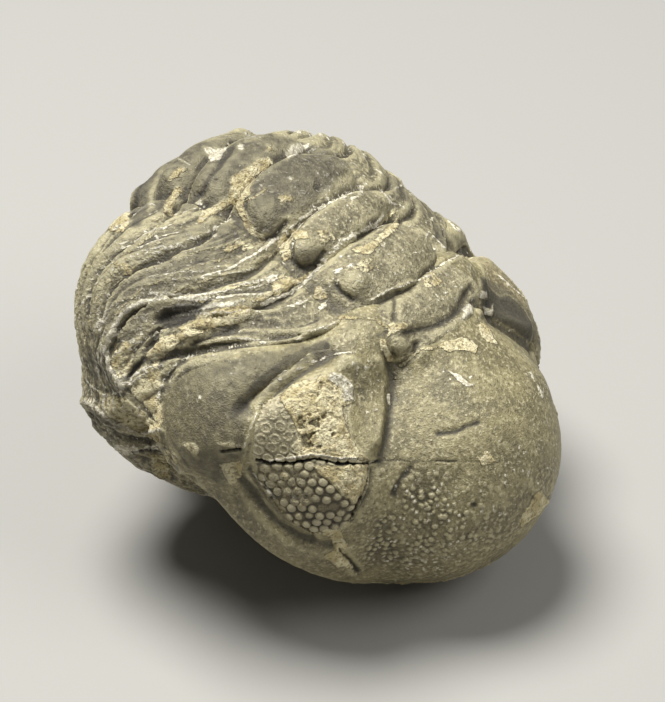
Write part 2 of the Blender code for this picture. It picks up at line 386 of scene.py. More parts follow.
# %% The cheeks
SHIELD_MIDDLE = -3.0
SHIELD_FRONT = 23.0
SHIELD_BACK = 9.5
SHIELD_HALF_WIDTH = 22.0
SHIELD_HEIGHT = 16.0
SHIELD_FRONT_HEIGHT = 10.5
SHIELD_ROUNDNESS = 2.3
SHIELD_SCALE = 13.0
REAR_MARGIN = -6.5
REAR_MARGIN_SWEEP = 3.1
REAR_ROUNDING = 4.5
MARGIN_LEVEL = 5.0
MARGIN_SLOPE = 0.22


def margin_level(y):
    """Height of the head shield's lower edge, which rises forward under the eyes."""
    return MARGIN_LEVEL + MARGIN_SLOPE * np.clip(y + 7.0, 0.0, 20.0)


def cheeks(x, y, z):
    """Domed head shield without its glabella and eyes."""
    side = np.abs(x)
    length = np.where(y > SHIELD_MIDDLE, SHIELD_FRONT, SHIELD_BACK)
    height = SHIELD_HEIGHT + (SHIELD_FRONT_HEIGHT - SHIELD_HEIGHT) * step(y, -5.0, 4.0)
    up = z - margin_level(y)
    p = SHIELD_ROUNDNESS
    q = ((side / SHIELD_HALF_WIDTH) ** p + (np.abs(y - SHIELD_MIDDLE) / length) ** p
         + (np.abs(up) / height) ** p) ** (1.0 / p)
    rear = REAR_MARGIN - REAR_MARGIN_SWEEP * bump(side, 20.0, 4.5)
    body = cut((q - 1.0) * SHIELD_SCALE, rear - y, REAR_ROUNDING)
    return cut(body, -up - 0.5, 1.5)


print("the cheeks are", 2 * SHIELD_HALF_WIDTH, "mm across")

# %% The glabella
GLABELLA_CENTRE = (0.0, 10.0, 15.0)
GLABELLA_RADII = (13.0, 12.2, 13.2)
NECK_HALF_WIDTH = 6.6
NECK_TOP = 24.0
NECK_DEPTH = 8.0
NECK_SCALE = 6.5
NECK_BACK = -3.2
NECK_FRONT = 8.0
BULB_BLEND = 3.5


def glabella(x, y, z):
    """Front bulb with a neck running back to the neck ring."""
    bulb = ellipsoid(x, y, z, GLABELLA_CENTRE, GLABELLA_RADII)
    along = np.clip((y + 6.0) / 14.0, 0.0, 1.0)
    half = NECK_HALF_WIDTH + 4.0 * along
    top = NECK_TOP + 2.2 * along
    q = np.sqrt((x / half) ** 2 + ((z - (top - NECK_DEPTH)) / NECK_DEPTH) ** 2)
    neck = cut(cut((q - 1.0) * NECK_SCALE, NECK_BACK - y, 1.0), y - NECK_FRONT, 3.0)
    return join(bulb, neck, BULB_BLEND)


print("the glabella is", 2 * GLABELLA_RADII[0], "mm wide")

# %% The eye lobes
EYE_CENTRE = (13.6, 2.4, 14.2)
EYE_RADII = (6.6, 9.2, 7.0)
EYE_SHOULDERS = (2.3, 2.3, 2.6)
EYE_ROOT = 2.4
EYE_SCALE = 6.0


def eye(x, y, z):
    """Tall oval eye lobe, the same on both sides."""
    total = 0.0
    for place, centre, radius, shoulder in zip((np.abs(x), y, z), EYE_CENTRE, EYE_RADII, EYE_SHOULDERS):
        total = total + (np.abs(place - centre) / radius) ** shoulder
    return (total ** (1.0 / EYE_ROOT) - 1.0) * EYE_SCALE


print("an eye lobe is", 2 * EYE_RADII[1], "mm long")

# %% The head's furrows
REAR_FURROW_DEPTH = 0.8
NECK_FURROW_DEPTH = 1.1
NECK_SIDE_LOBE_RISE = 0.7
SOCKET_DEPTH = 0.35
LEFT_WEAR = 1.0


def head_relief(x, y, z):
    """Furrows of the head shield, as a height above its plain domes. The left eye is worn down."""
    side = np.abs(x)
    rear_furrow_at = -4.3 + 0.9 * step(side, 15.0, 22.0)
    open_part = step(side, 10.5, 13.5) * (1.0 - step(side, 18.0, 22.0))
    rear_furrow = REAR_FURROW_DEPTH * bump(y, rear_furrow_at, 0.7) * open_part
    neck_furrow = NECK_FURROW_DEPTH * bump(y, -2.9 + 0.02 * side ** 2, 0.8) * (1.0 - step(side, 5.5, 8.0))
    side_lobe = bump(side, 5.6, 1.4) * bump(y, -1.2, 1.3)
    base = np.hypot((y - 3.5) / 9.0, (z - 16.5) / 4.8)
    socket = bump(base, 1.0, 0.13) * step(side, 14.0, 17.5) * step(21.0 - z, 1.0, 3.0) * step(y, -1.0, 2.0)
    left_eye_top = step(-x, 10.0, 15.0) * bump(y, -4.0, 3.8) * step(z, 9.0, 13.0)
    relief = -rear_furrow - neck_furrow + NECK_SIDE_LOBE_RISE * side_lobe
    return relief - SOCKET_DEPTH * socket - LEFT_WEAR * left_eye_top


print("the deepest furrow of the head is", NECK_FURROW_DEPTH, "mm deep")

# %% The head as one solid, and the body with mudstone packed against it
CORNER_CENTRE = (17.3, -3.4, 9.8)
CORNER_RADII = (6.2, 6.5, 7.6)
NECK_LOBE_CENTRE = (6.3, -3.6, 19.6)
NECK_LOBE_RADII = (4.0, 3.6, 3.2)
CORNER_BLEND = 2.0
NECK_LOBE_BLEND = 2.5
GLABELLA_BLEND = 1.2
EYE_BLEND = 3.2
HEAD_SETTING = 0.3
HEAD_FILLET = 2.0


def head_solid(x, y, z):
    side = np.abs(x)
    shield = join(cheeks(x, y, z), ellipsoid(side, y, z, CORNER_CENTRE, CORNER_RADII), CORNER_BLEND)
    shield = join(shield, ellipsoid(side, y, z, NECK_LOBE_CENTRE, NECK_LOBE_RADII), NECK_LOBE_BLEND)
    shield = join(shield, glabella(x, y, z), GLABELLA_BLEND)
    return join(shield, eye(x, y, z), EYE_BLEND) - head_relief(x, y, z)


def rolled_body(x, y, z):
    """The body, with mudstone packed into the corner where the head overlaps it."""
    return join(body_solid(x, y, z), head_solid(x, y, z) + HEAD_SETTING, HEAD_FILLET)


print("the mudstone under the head's rim has a rounding of", HEAD_FILLET, "mm")

# %% [markdown]
# ## From functions to meshes
#
# A sphere of small triangles is the simplest way to mesh such a solid: from a point deep inside,
# each corner of the sphere is moved out along its own line until it reaches the surface. First the
# line is walked inwards in steps to find the outermost crossing, then the crossing is halved into.

# %% Push a sphere out to a solid's surface
OUTER_REACH = 37.0
INNER_REACH = 2.0
WALK_STEP = 0.6
HALVINGS = 14


def reach_along(solid, centre, directions):
    """How far the solid's surface lies from the centre along each direction, in mm."""
    inner = np.full(len(directions), INNER_REACH)
    walking = np.arange(len(directions))
    reach = OUTER_REACH
    while len(walking) and reach > INNER_REACH:
        inside = solid(*(centre + directions[walking] * reach).T) < 0.0
        inner[walking[inside]] = reach
        walking = walking[~inside]
        reach -= WALK_STEP
    outer = inner + WALK_STEP
    for _ in range(HALVINGS):
        middle = 0.5 * (outer + inner)
        inside = solid(*(centre + directions * middle[:, None]).T) < 0.0
        inner = np.where(inside, middle, inner)
        outer = np.where(inside, outer, middle)
    return 0.5 * (outer + inner)


straight_up = reach_along(head_solid, np.array((0.0, 2.5, 9.5)), np.array(((0.0, 0.0, 1.0),)))
print("the top of the head is", straight_up.round(2), "mm above a point inside it")

# %% The sphere and its normals
FULL_LEVEL = 8
LEVEL = FULL_LEVEL


def sphere_mesh(level):
    """Directions and triangles of a sphere."""
    bm = bmesh.new()
    bmesh.ops.create_icosphere(bm, subdivisions=level, radius=1.0)
    directions = np.array([vert.co for vert in bm.verts])
    triangles = np.array([[vert.index for vert in face.verts] for face in bm.faces])
    bm.free()
    return directions / np.linalg.norm(directions, axis=1)[:, None], triangles


def surface_normals(points, triangles):
    corners = points[triangles]
    faces = np.cross(corners[:, 1] - corners[:, 0], corners[:, 2] - corners[:, 0])
    normals = np.zeros_like(points)
    for column in range(3):
        np.add.at(normals, triangles[:, column], faces)
    return normals / np.linalg.norm(normals, axis=1)[:, None]


sphere_directions, sphere_triangles = sphere_mesh(LEVEL)
print("a sphere of", len(sphere_triangles), "triangles")

# %% [markdown]
# ## Uneven stone
#
# Fossil shell is never quite smooth. Noise with lumps of a known size in millimetres gives the
# slow unevenness of the shell and the grit of the mudstone, and scattered grains give warts.
# Blender's own noise textures could do it on the finished mesh, but the masks that are painted
# later need the same noise as numbers. It depends only on the place in the animal's axes, so it
# comes out the same each time.

# %% Noise
def scramble(at, primes, seed):
    """A large whole number for each cell, which looks random but is always the same."""
    mix = at[:, 0] * primes[0] + at[:, 1] * primes[1] + at[:, 2] * primes[2] + seed
    return (mix ^ (mix >> 13)) * 1274126177


def noise(points, size, seed):
    """Smooth noise from -1 to 1, with lumps about size mm across."""
    place = points / size + 31.7 * seed
    cell = np.floor(place).astype(np.int64)
    part = place - cell
    part = part * part * (3.0 - 2.0 * part)
    total = np.zeros(len(points))
    for corner in itertools.product((0, 1), repeat=3):
        mix = scramble(cell + np.array(corner), (374761393, 668265263, 2147483647), seed * 144665)
        mix = (mix ^ (mix >> 16)) & 0xFFFF
        weight = np.prod(np.where(np.array(corner) == 1, part, 1.0 - part), axis=1)
        total += weight * (mix / 32767.5 - 1.0)
    return total


def rough(points, size, octaves, seed):
    """Noise with finer and finer lumps on it."""
    total = np.zeros(len(points))
    for octave in range(octaves):
        total += noise(points, size / 2 ** octave, seed + octave) / 2 ** octave
    return total


sample_spots = np.array(((0.0, 0.0, 0.0), (1.0, 2.0, 3.0)))
print("noise at two spots:", rough(sample_spots, 2.0, 3, 1).round(2))

# %% Grains
def grains(points, size, seed):
    """Distance to the nearest of many scattered grain middles, and a random number for that grain."""
    cell = np.floor(points / size).astype(np.int64)
    nearest = np.full(len(points), 9.0 * size)
    random = np.zeros(len(points))
    for offset in itertools.product((-1, 0, 1), repeat=3):
        at = cell + np.array(offset)
        mix = scramble(at, (73856093, 19349663, 83492791), seed * 7919)
        parts = [((mix >> shift) & 1023) / 1023.0 for shift in (3, 13, 23)]
        middle = (at + 0.15 + 0.7 * np.stack(parts, 1)) * size
        distance = np.linalg.norm(points - middle, axis=1)
        closer = distance < nearest
        nearest = np.where(closer, distance, nearest)
        random = np.where(closer, ((mix >> 33) & 1023) / 1023.0, random)
    return nearest, random


def dome(distance, radius):
    """Height of a half ball, from 1 over its middle to 0 at its radius."""
    return np.sqrt(np.clip(1.0 - (distance / radius) ** 2, 0.0, 1.0))


print("distance to a grain:", grains(sample_spots, 0.8, 1)[0].round(2))

# %% [markdown]
# ## Marks read off the picture
#
# The cleaning left crusts of mudstone in the furrows, calcite fills the seams, and a crack runs
# through the eye. Such marks follow no rule, so they are drawn one by one: each is a line or an
# outline in picture pixels, and lands on the surface that the camera sees there. They keep few
# corners, because noise makes their edges ragged afterwards.

# %% Distances in the picture
TO_CAMERA = CAMERA_AXES[2] @ TURN


def away_from_line(seen, line):
    """Distance in pixels to a line through some points, or to a single point."""
    line = np.array(line, dtype=float)
    if len(line) == 1:
        return np.hypot(*(seen - line[0]).T)
    nearest = np.full(len(seen), 1e9)
    for start, end in zip(line[:-1], line[1:]):
        along = end - start
        part = np.clip((seen - start) @ along / (along @ along), 0.0, 1.0)
        nearest = np.minimum(nearest, np.hypot(*(seen - start - part[:, None] * along).T))
    return nearest


def within_outline(seen, outline):
    """Distance in pixels to an outline, positive inside it."""
    closed = list(outline) + [outline[0]]
    inside = np.zeros(len(seen), dtype=bool)
    for (x0, y0), (x1, y1) in zip(closed[:-1], closed[1:]):
        crosses = (y0 > seen[:, 1]) != (y1 > seen[:, 1])
        at = x0 + (seen[:, 1] - y0) * (x1 - x0) / (y1 - y0 + 1e-6)
        inside ^= crosses & (seen[:, 0] < at)
    return np.where(inside, 1.0, -1.0) * away_from_line(seen, closed)


def near_mark(seen, weight, points, margin):
    """The corners that a mark could reach; the others needn't be measured."""
    corners = np.array(points, dtype=float)
    close = (seen > corners.min(0) - margin) & (seen < corners.max(0) + margin)
    return np.flatnonzero(close.all(1) & (weight > 0.0))


print("the camera looks along", (-TO_CAMERA).round(2), "in the animal's axes")

# %% Lay lines, outlines and shapes on a surface
def lay_outlines(layer, seen, weight, outlines, softness):
    for strength, outline in outlines:
        near = near_mark(seen, weight, outline, 4.0 * softness)
        cover = step(within_outline(seen[near], outline), -softness, softness)
        layer[near] = np.maximum(layer[near], strength * weight[near] * cover)


def lay_lines(layer, seen, weight, lines, softness):
    for width, strength, line in lines:
        near = near_mark(seen, weight, line, width + 4.0 * softness)
        cover = step(0.5 * width - away_from_line(seen[near], line), -softness, softness)
        layer[near] = np.maximum(layer[near], strength * weight[near] * cover)


def lay_shapes(height, seen, weight, shapes):
    """Ridges and knobs, or furrows and pits where the rise is negative."""
    for width, rise, line in shapes:
        near = near_mark(seen, weight, line, 2.5 * width)
        height[near] += rise * weight[near] * bump(away_from_line(seen[near], line), 0.0, width)


sample_layer = np.zeros(2)
lay_lines(sample_layer, np.array(((5.0, 0.0), (5.0, 9.0))), np.ones(2), ((4.0, 1.0, ((0, 0), (10, 0))),), 1.0)
print("a line covers a place on it and a place beside it this much:", sample_layer)

# %% [markdown]
# ### Mudstone
#
# Cream and tan lime mud that filled the furrows before it hardened. The preparator scraped most of
# it off, and what is left is thicker than the shell around it. Each entry is a strength and an
# outline, or a width, a strength and a line.

# %% Where mudstone is left
MUDSTONE_AREAS = (
    (1.0, ((110, 232), (110, 215), (114, 209), (125, 200), (131, 193), (129, 225), (122, 232))),
    (1.0, ((166, 184), (178, 168), (187, 170), (176, 178))),
    (1.0, ((163, 212), (165, 202), (176, 187), (181, 188), (178, 196), (172, 212))),
    (1.0, ((231, 178), (240, 172), (257, 160), (268, 158), (273, 164), (252, 180), (250, 195), (235, 207),
           (228, 205))),
    (0.9, ((222, 250), (238, 240), (247, 242), (228, 254))),
    (0.7, ((266, 145), (272, 145), (272, 153), (266, 153))),
    (0.7, ((240, 243), (258, 243), (256, 250), (242, 251))),
    (0.9, ((276, 240), (285, 232), (292, 258), (285, 263))),
    (0.7, ((290, 228), (312, 230), (308, 240), (292, 239))),
    (0.6, ((315, 230), (330, 228), (335, 240), (320, 245))),
    (0.9, ((270, 280), (280, 275), (300, 282), (288, 291), (275, 298))),
    (0.7, ((277, 197), (290, 193), (295, 201), (281, 205))),
    (1.0, ((352, 250), (375, 240), (390, 225), (398, 217), (398, 228), (382, 240), (370, 255), (358, 254))),
    (0.9, ((114, 345), (126, 338), (135, 350), (132, 372), (120, 378), (112, 364))),
    (1.0, ((178, 328), (215, 310), (240, 303), (255, 308), (245, 322), (225, 325), (185, 338))),
    (0.8, ((145, 355), (160, 338), (178, 332), (185, 338), (170, 352), (158, 366))),
    (1.0, ((135, 380), (155, 362), (160, 362), (162, 420), (160, 430), (150, 410), (130, 390))),
    (0.9, ((182, 445), (192, 443), (200, 447), (197, 458))),
    (0.7, ((217, 443), (230, 441), (243, 448), (230, 450))),
    (1.0, ((220, 465), (243, 459), (242, 474), (234, 484), (228, 482))),
    (0.7, ((148, 453), (170, 455), (172, 478), (155, 476))),
    (0.9, ((390, 322), (410, 324), (404, 331), (388, 336))),
    (1.0, ((440, 345), (463, 337), (478, 345), (475, 354), (462, 350), (445, 352))),
    (1.0, ((477, 325), (483, 322), (490, 330), (498, 345), (483, 340))),
    (1.0, ((280, 402), (284, 392), (292, 384), (305, 380), (315, 381), (325, 375), (340, 376), (351, 384),
           (354, 402), (342, 406), (346, 425), (355, 445), (368, 460), (330, 457), (297, 457), (292, 447),
           (300, 436), (292, 418))),
    (1.0, ((313, 466), (368, 464), (366, 485), (356, 503), (342, 497), (330, 482), (318, 474))),
    (1.0, ((315, 532), (330, 528), (340, 530), (347, 545), (345, 553), (355, 568), (338, 566), (322, 556),
           (334, 549), (331, 538))),
    (0.9, ((540, 490), (550, 502), (540, 512), (522, 527), (518, 520), (525, 508))),
    (0.9, ((478, 458), (488, 452), (498, 462), (482, 466))),
    (0.6, ((418, 276), (436, 270), (443, 282), (426, 290))),
    (0.5, ((350, 262), (376, 256), (380, 268), (356, 274))),
    (0.24, ((262, 404), (282, 392), (298, 420), (298, 455), (256, 452))),
    (0.4, ((258, 466), (300, 468), (318, 500), (300, 510), (272, 490))),
    (0.8, ((98, 392), (128, 398), (160, 425), (162, 445), (125, 428), (104, 410))),
)
MUDSTONE_LINES = (
    (7.0, 1.0, ((228, 203), (214, 210), (205, 214), (200, 220))),
    (7.0, 1.0, ((240, 206), (246, 220), (252, 232), (262, 240))),
    (2.5, 0.8, ((240, 205), (252, 198), (265, 190))),
    (5.0, 0.8, ((200, 300), (230, 288), (258, 281))),
    (14.0, 0.8, ((320, 293),)),
    (5.0, 0.7, ((362, 232), (378, 224), (392, 213))),
    (3.0, 0.7, ((122, 258), (145, 240), (160, 224))),
    (2.5, 0.6, ((140, 257), (160, 242))),
    (3.0, 0.7, ((150, 222), (172, 214))),
    (9.0, 0.5, ((118, 262), (130, 272))),
    (7.0, 1.0, ((383, 343), (385, 351), (390, 358))),
    (4.0, 0.7, ((400, 366), (420, 350), (440, 347))),
    (4.0, 0.6, ((340, 318), (372, 318), (388, 328))),
    (6.0, 0.7, ((258, 300), (290, 285), (312, 273))),
    (4.0, 0.7, ((255, 262), (285, 248), (300, 232))),
    (2.5, 0.6, ((100, 300), (130, 270), (170, 246))),
    (3.0, 0.55, ((84, 345), (95, 300), (118, 268))),
    (2.5, 0.6, ((112, 318), (140, 290), (185, 270), (228, 258))),
    (3.0, 0.55, ((150, 302), (190, 284), (238, 272))),
    (2.0, 0.55, ((170, 262), (205, 250), (232, 244))),
    (4.0, 0.5, ((72, 320), (78, 285), (98, 255))),
    # Painted highlight in the mudstone colour along the crest of the broken ridge at the lower left.
    (4.0, 0.6, ((84, 402), (115, 424), (150, 434))),
    (3.0, 0.6, ((196, 318), (240, 300), (262, 300))),
    (6.0, 0.5, ((165, 448), (182, 468))),
)
print(len(MUDSTONE_AREAS) + len(MUDSTONE_LINES), "crusts of mudstone")

# %% [markdown]
# ### Calcite
#
# White calcite grew in the seams between the segments and along the rims, and splinters of it stand
# where shell flaked off. The pale lines on the far eye's rim and along the broken ridge at the lower
# left are painted highlight in the calcite colour. Calcite is nearly flush with the shell, so it needs
# colour more than height.
# The sprinkled areas have no veins, but many loose flakes, which noise scatters over them.

# %% Where calcite shows
CALCITE_AREAS = (
    (0.9, ((203, 147), (222, 148), (233, 142), (220, 160), (210, 162))),
    (0.9, ((284, 155), (290, 146), (312, 144), (303, 152), (287, 160))),
    (0.8, ((193, 205), (203, 195), (204, 205))),
    (0.45, ((240, 133), (262, 128), (264, 138), (245, 143))),
    (0.9, ((462, 317), (466, 306), (473, 303), (473, 314), (466, 318))),
    (0.9, ((483, 306), (490, 309), (493, 303), (493, 316), (484, 315))),
    (0.9, ((480, 291), (487, 291), (487, 299), (480, 299))),
    (0.8, ((112, 443), (138, 446), (140, 454), (120, 457))),
    (0.7, ((145, 442), (160, 444), (158, 450), (146, 450))),
    (0.9, ((446, 371), (460, 376), (475, 386), (468, 388), (456, 380))),
    (0.8, ((332, 372), (345, 376), (352, 385), (353, 402), (343, 402), (340, 388), (326, 380))),
)
CALCITE_LINES = (
    (2.5, 1.0, ((200, 278), (230, 268), (258, 253), (280, 237), (300, 218), (320, 208), (345, 196),
                (362, 187))),
    (3.5, 1.0, ((262, 305), (290, 293), (308, 280), (323, 262), (340, 243), (360, 232), (375, 225),
                (382, 215))),
    (2.0, 1.0, ((370, 300), (395, 288), (432, 275))),
    (2.0, 0.9, ((433, 272), (445, 262), (460, 255), (470, 251))),
    (2.0, 0.9, ((448, 222), (455, 228), (468, 236), (473, 243), (470, 251))),
    (1.8, 0.8, ((426, 240), (428, 232), (440, 243), (445, 250))),
    (2.0, 0.8, ((380, 190), (386, 197), (390, 203), (403, 206))),
    (2.0, 0.8, ((376, 168), (382, 175))),
    (2.0, 0.8, ((395, 190), (403, 184))),
    (4.0, 0.9, ((432, 220),)),
    (2.5, 0.8, ((198, 237), (232, 219))),
    (2.0, 0.7, ((160, 253), (200, 236))),
    (2.0, 0.7, ((135, 268), (165, 250))),
    (2.0, 0.7, ((175, 215), (205, 207))),
    (5.0, 1.0, ((165, 299), (140, 302), (121, 315), (111, 332), (105, 348), (109, 366), (122, 384))),
    (2.0, 0.9, ((160, 398), (160, 390), (165, 378), (172, 369), (182, 360), (210, 351), (240, 346))),
    (1.5, 0.7, ((240, 346), (270, 343), (300, 338))),
    # Painted highlight in the calcite colour along the crest of the broken ridge at the lower left.
    (3.5, 0.8, ((84, 402), (95, 408), (115, 423), (140, 433), (160, 430))),
    (2.0, 0.7, ((85, 378), (95, 390), (105, 397), (122, 392))),
    (2.0, 0.7, ((100, 440), (114, 460))),
    (1.8, 0.8, ((262, 400), (252, 425), (245, 448))),
    (2.5, 0.7, ((277, 379), (290, 373), (302, 368))),
    (1.8, 0.8, ((300, 369), (335, 354), (350, 352))),
    (5.0, 0.8, ((215, 236),)),
    (4.0, 0.8, ((291, 179),)),
    (7.0, 0.8, ((241, 147),)),
    (4.0, 0.8, ((200, 398),)),
    (3.0, 0.9, ((462, 311), (468, 308))),
    (4.0, 0.8, ((388, 396), (389, 404))),
    (3.0, 0.6, ((530, 372), (536, 380), (542, 397))),
    # The next two lines, on the far eye's rim, are painted highlight in the calcite colour.
    (2.0, 0.7, ((497, 275), (515, 290), (535, 305))),
    (2.0, 0.8, ((541, 335), (544, 348), (545, 356))),
    (4.0, 0.8, ((475, 538),)),
    (2.5, 0.7, ((253, 472), (262, 482), (275, 498))),
    (2.5, 0.9, ((262, 462), (290, 458), (310, 454), (330, 457), (356, 459))),
    (2.0, 0.6, ((150, 198), (158, 215))),
    (2.0, 0.6, ((178, 158), (190, 166))),
    (2.0, 0.5, ((183, 283), (195, 290))),
    (5.0, 0.6, ((333, 273), (344, 268), (356, 264))),
    (4.0, 0.6, ((352, 200), (362, 192))),
    (1.5, 0.6, ((402, 258), (425, 250))),
    (2.0, 0.5, ((133, 405), (150, 412))),
    (2.0, 0.5, ((136, 414), (155, 420))),
    (1.5, 0.5, ((140, 423), (160, 428))),
)
SPRINKLED_AREAS = (
    (0.9, ((318, 150), (345, 158), (350, 172), (330, 180), (315, 168))),
    (0.6, ((345, 190), (365, 200), (362, 218), (345, 214))),
    (0.9, ((415, 266), (450, 268), (455, 290), (430, 298), (418, 284))),
    (1.0, ((494, 440), (530, 446), (532, 482), (505, 490), (488, 465))),
    (0.8, ((492, 500), (525, 500), (520, 520), (488, 518))),
    (0.8, ((440, 368), (478, 372), (480, 392), (446, 386))),
    (0.6, ((215, 355), (235, 355), (235, 378), (215, 378))),
    (0.8, ((375, 236), (395, 240), (395, 258), (375, 254))),
    (0.9, ((350, 352), (375, 352), (383, 372), (381, 410), (365, 425), (354, 390))),
    (0.8, ((165, 440), (235, 470), (222, 490), (170, 462))),
    (0.9, ((390, 262), (475, 262), (478, 300), (430, 312), (395, 300))),
    (0.6, ((520, 365), (548, 380), (552, 440), (535, 430))),
    (0.7, ((530, 440), (560, 440), (555, 490), (535, 500))),
    (0.9, ((250, 470), (262, 470), (300, 500), (290, 512))),
    (0.5, ((100, 230), (180, 160), (250, 130), (300, 150), (260, 240), (120, 300))),
    (0.5, ((395, 470), (460, 470), (470, 520), (400, 515))),
    (0.6, ((365, 535), (470, 540), (440, 575), (380, 575))),
    (0.5, ((150, 440), (195, 450), (210, 486), (120, 465))),
    (0.8, ((66, 330), (110, 240), (170, 240), (240, 260), (170, 300), (120, 400), (80, 400))),
    (0.9, ((240, 175), (300, 150), (370, 190), (360, 240), (290, 260))),
    (0.7, ((330, 210), (390, 225), (380, 290), (300, 300))),
)
print(len(CALCITE_AREAS) + len(CALCITE_LINES), "veins and splinters of calcite")

# %% [markdown]
# ### Dark places
#
# Some dark marks are dirt in furrows and stains on the open shell. Others are painted shade: in the
# deep furrows beside the eye, the glabella and the neck ring, in a hollow among the ribs and on the
# lower half of the cheek's swollen lobe. A crack runs through the right eye and thins out over the
# glabella. It is a line like the others, and cuts into the stone.

# %% Where it is dark
DARK_AREAS = (
    (0.8, ((131, 228), (131, 195), (140, 180), (160, 162), (165, 165), (150, 190), (148, 215), (140, 228))),
    (0.6, ((205, 228), (230, 222), (247, 228), (245, 240), (225, 240), (208, 245))),
    # Painted shade in the deep hollow among the ribs.
    (1.0, ((158, 324), (160, 308), (180, 303), (212, 299), (196, 318), (170, 331))),
    (0.6, ((432, 222), (460, 236), (470, 243), (462, 250), (448, 253), (436, 240))),
    (0.6, ((385, 180), (405, 186), (415, 205), (396, 200))),
    (0.6, ((251, 214), (266, 208), (282, 210), (285, 225), (275, 237), (257, 230))),
    (0.5, ((378, 162), (402, 172), (436, 208), (446, 224), (432, 224), (408, 196), (384, 180))),
    (0.55, ((290, 252), (304, 246), (320, 246), (322, 258), (312, 268), (296, 264))),
    # Painted shade around the same hollow among the ribs.
    (0.5, ((150, 306), (185, 300), (222, 301), (205, 318), (172, 330), (152, 326))),
    (1.0, ((480, 276), (505, 285), (530, 310), (545, 352), (520, 335), (495, 318), (482, 318))),
    (0.62, ((150, 215), (160, 165), (190, 145), (250, 130), (330, 148), (352, 165), (310, 210), (250, 225),
            (200, 212))),
    # The next two areas darken the cheek's swollen lobe; the second is painted shade on its lower half, which
    # is turned from the lamp.
    (0.55, ((160, 400), (185, 366), (250, 354), (298, 346), (262, 380), (240, 410), (245, 450), (225, 485),
            (190, 465), (165, 430))),
    (0.5, ((163, 412), (200, 408), (240, 405), (248, 440), (240, 470), (222, 488), (190, 468), (168, 440))),
    (0.4, ((262, 402), (268, 385), (300, 362), (335, 345), (348, 352), (320, 368), (285, 387))),
    (0.45, ((100, 330), (110, 290), (160, 240), (225, 215), (235, 250), (180, 300), (135, 330), (120, 360))),
    (0.75, ((524, 312), (540, 320), (545, 352), (530, 345))),
    (0.7, ((140, 470), (160, 472), (170, 488), (148, 484))),
    (0.5, ((300, 478), (345, 500), (350, 520), (318, 530), (280, 505), (262, 478))),
    (0.25, ((60, 300), (110, 240), (160, 230), (150, 300), (120, 330), (90, 400))),
)
DARK_LINES = (
    (5.0, 0.7, ((232, 146), (213, 170), (200, 195))),
    (3.5, 0.8, ((195, 342), (235, 328))),
    (4.0, 0.8, ((150, 338), (162, 331))),
    (4.0, 0.7, ((118, 389), (128, 389))),
    (5.0, 0.6, ((90, 412), (120, 435), (150, 441))),
    (3.0, 0.9, ((378, 336), (388, 332))),
    # The next two lines are painted shade: the shadow in the furrow between the cheek's lobe and the eye, and
    # on the lobe's slope down into it.
    (13.0, 0.8, ((324, 347), (308, 353), (288, 361), (268, 377), (250, 394), (233, 414))),
    (26.0, 0.5, ((300, 355), (268, 372), (240, 398), (228, 430))),
    # Painted shade in the furrow in front of the neck ring.
    (4.0, 0.5, ((475, 295), (465, 308), (435, 325), (405, 333))),
    (4.0, 0.5, ((420, 348), (412, 362), (400, 369))),
    (5.0, 0.5, ((441, 339),)),
    (3.0, 0.6, ((394, 303), (395, 318))),
    # Painted shade in the furrow along the glabella's side.
    (6.0, 0.4, ((389, 362), (393, 382), (391, 405), (387, 430), (380, 462))),
    (6.0, 0.4, ((250, 470), (260, 490), (275, 510), (292, 527), (312, 537))),
    (5.0, 0.7, ((370, 470), (366, 492), (350, 520))),
    (4.0, 0.7, ((438, 434), (455, 432), (470, 424), (478, 422))),
    (5.0, 0.45, ((395, 494), (400, 480), (410, 468), (427, 450))),
    (7.0, 0.7, ((395, 490),)),
    (5.0, 0.6, ((474, 505),)),
    (3.0, 0.9, ((340, 550), (350, 562), (357, 570))),
    (3.0, 0.9, ((132, 452), (155, 450))),
    (3.0, 0.8, ((290, 160), (315, 145))),
    (3.0, 0.7, ((113, 234), (122, 240))),
    (3.5, 0.8, ((160, 332), (150, 345), (141, 361), (127, 381))),
    (5.0, 0.6, ((250, 236), (262, 241), (277, 237))),
    (5.0, 0.6, ((294, 262), (306, 269), (318, 262))),
    (6.0, 0.6, ((336, 285), (348, 297), (362, 299))),
    (3.0, 0.6, ((90, 415), (104, 440), (120, 458))),
    (4.0, 0.6, ((178, 352), (168, 360), (158, 370))),
    (3.0, 0.7, ((168, 395), (164, 415), (172, 440), (188, 468))),
    (3.0, 0.7, ((320, 384), (334, 393))),
)
CRACK_LINES = (
    (3.0, 0.9, ((223, 449), (240, 448))),
    (3.6, 1.0, ((257, 460), (270, 463), (290, 464), (302, 461))),
    (2.4, 0.95, ((302, 461), (315, 459), (335, 463), (365, 464), (381, 461))),
    (1.2, 0.5, ((380, 461), (398, 460), (412, 462))),
    (1.6, 0.6, ((436, 461), (456, 461))),
    (0.9, 0.4, ((412, 462), (436, 461), (480, 462), (512, 460))),
)
print(len(DARK_AREAS) + len(DARK_LINES), "dark places and", len(CRACK_LINES), "lengths of crack")

# %% [markdown]
# ### Small shapes
#
# Knobs, lobes and furrows that are too small or too irregular for the functions above. Each is a
# width in pixels, a rise in millimetres and a line. The first list belongs to the animal, so its
# hidden side has the same shapes. The second is damage, which happened only where it shows.

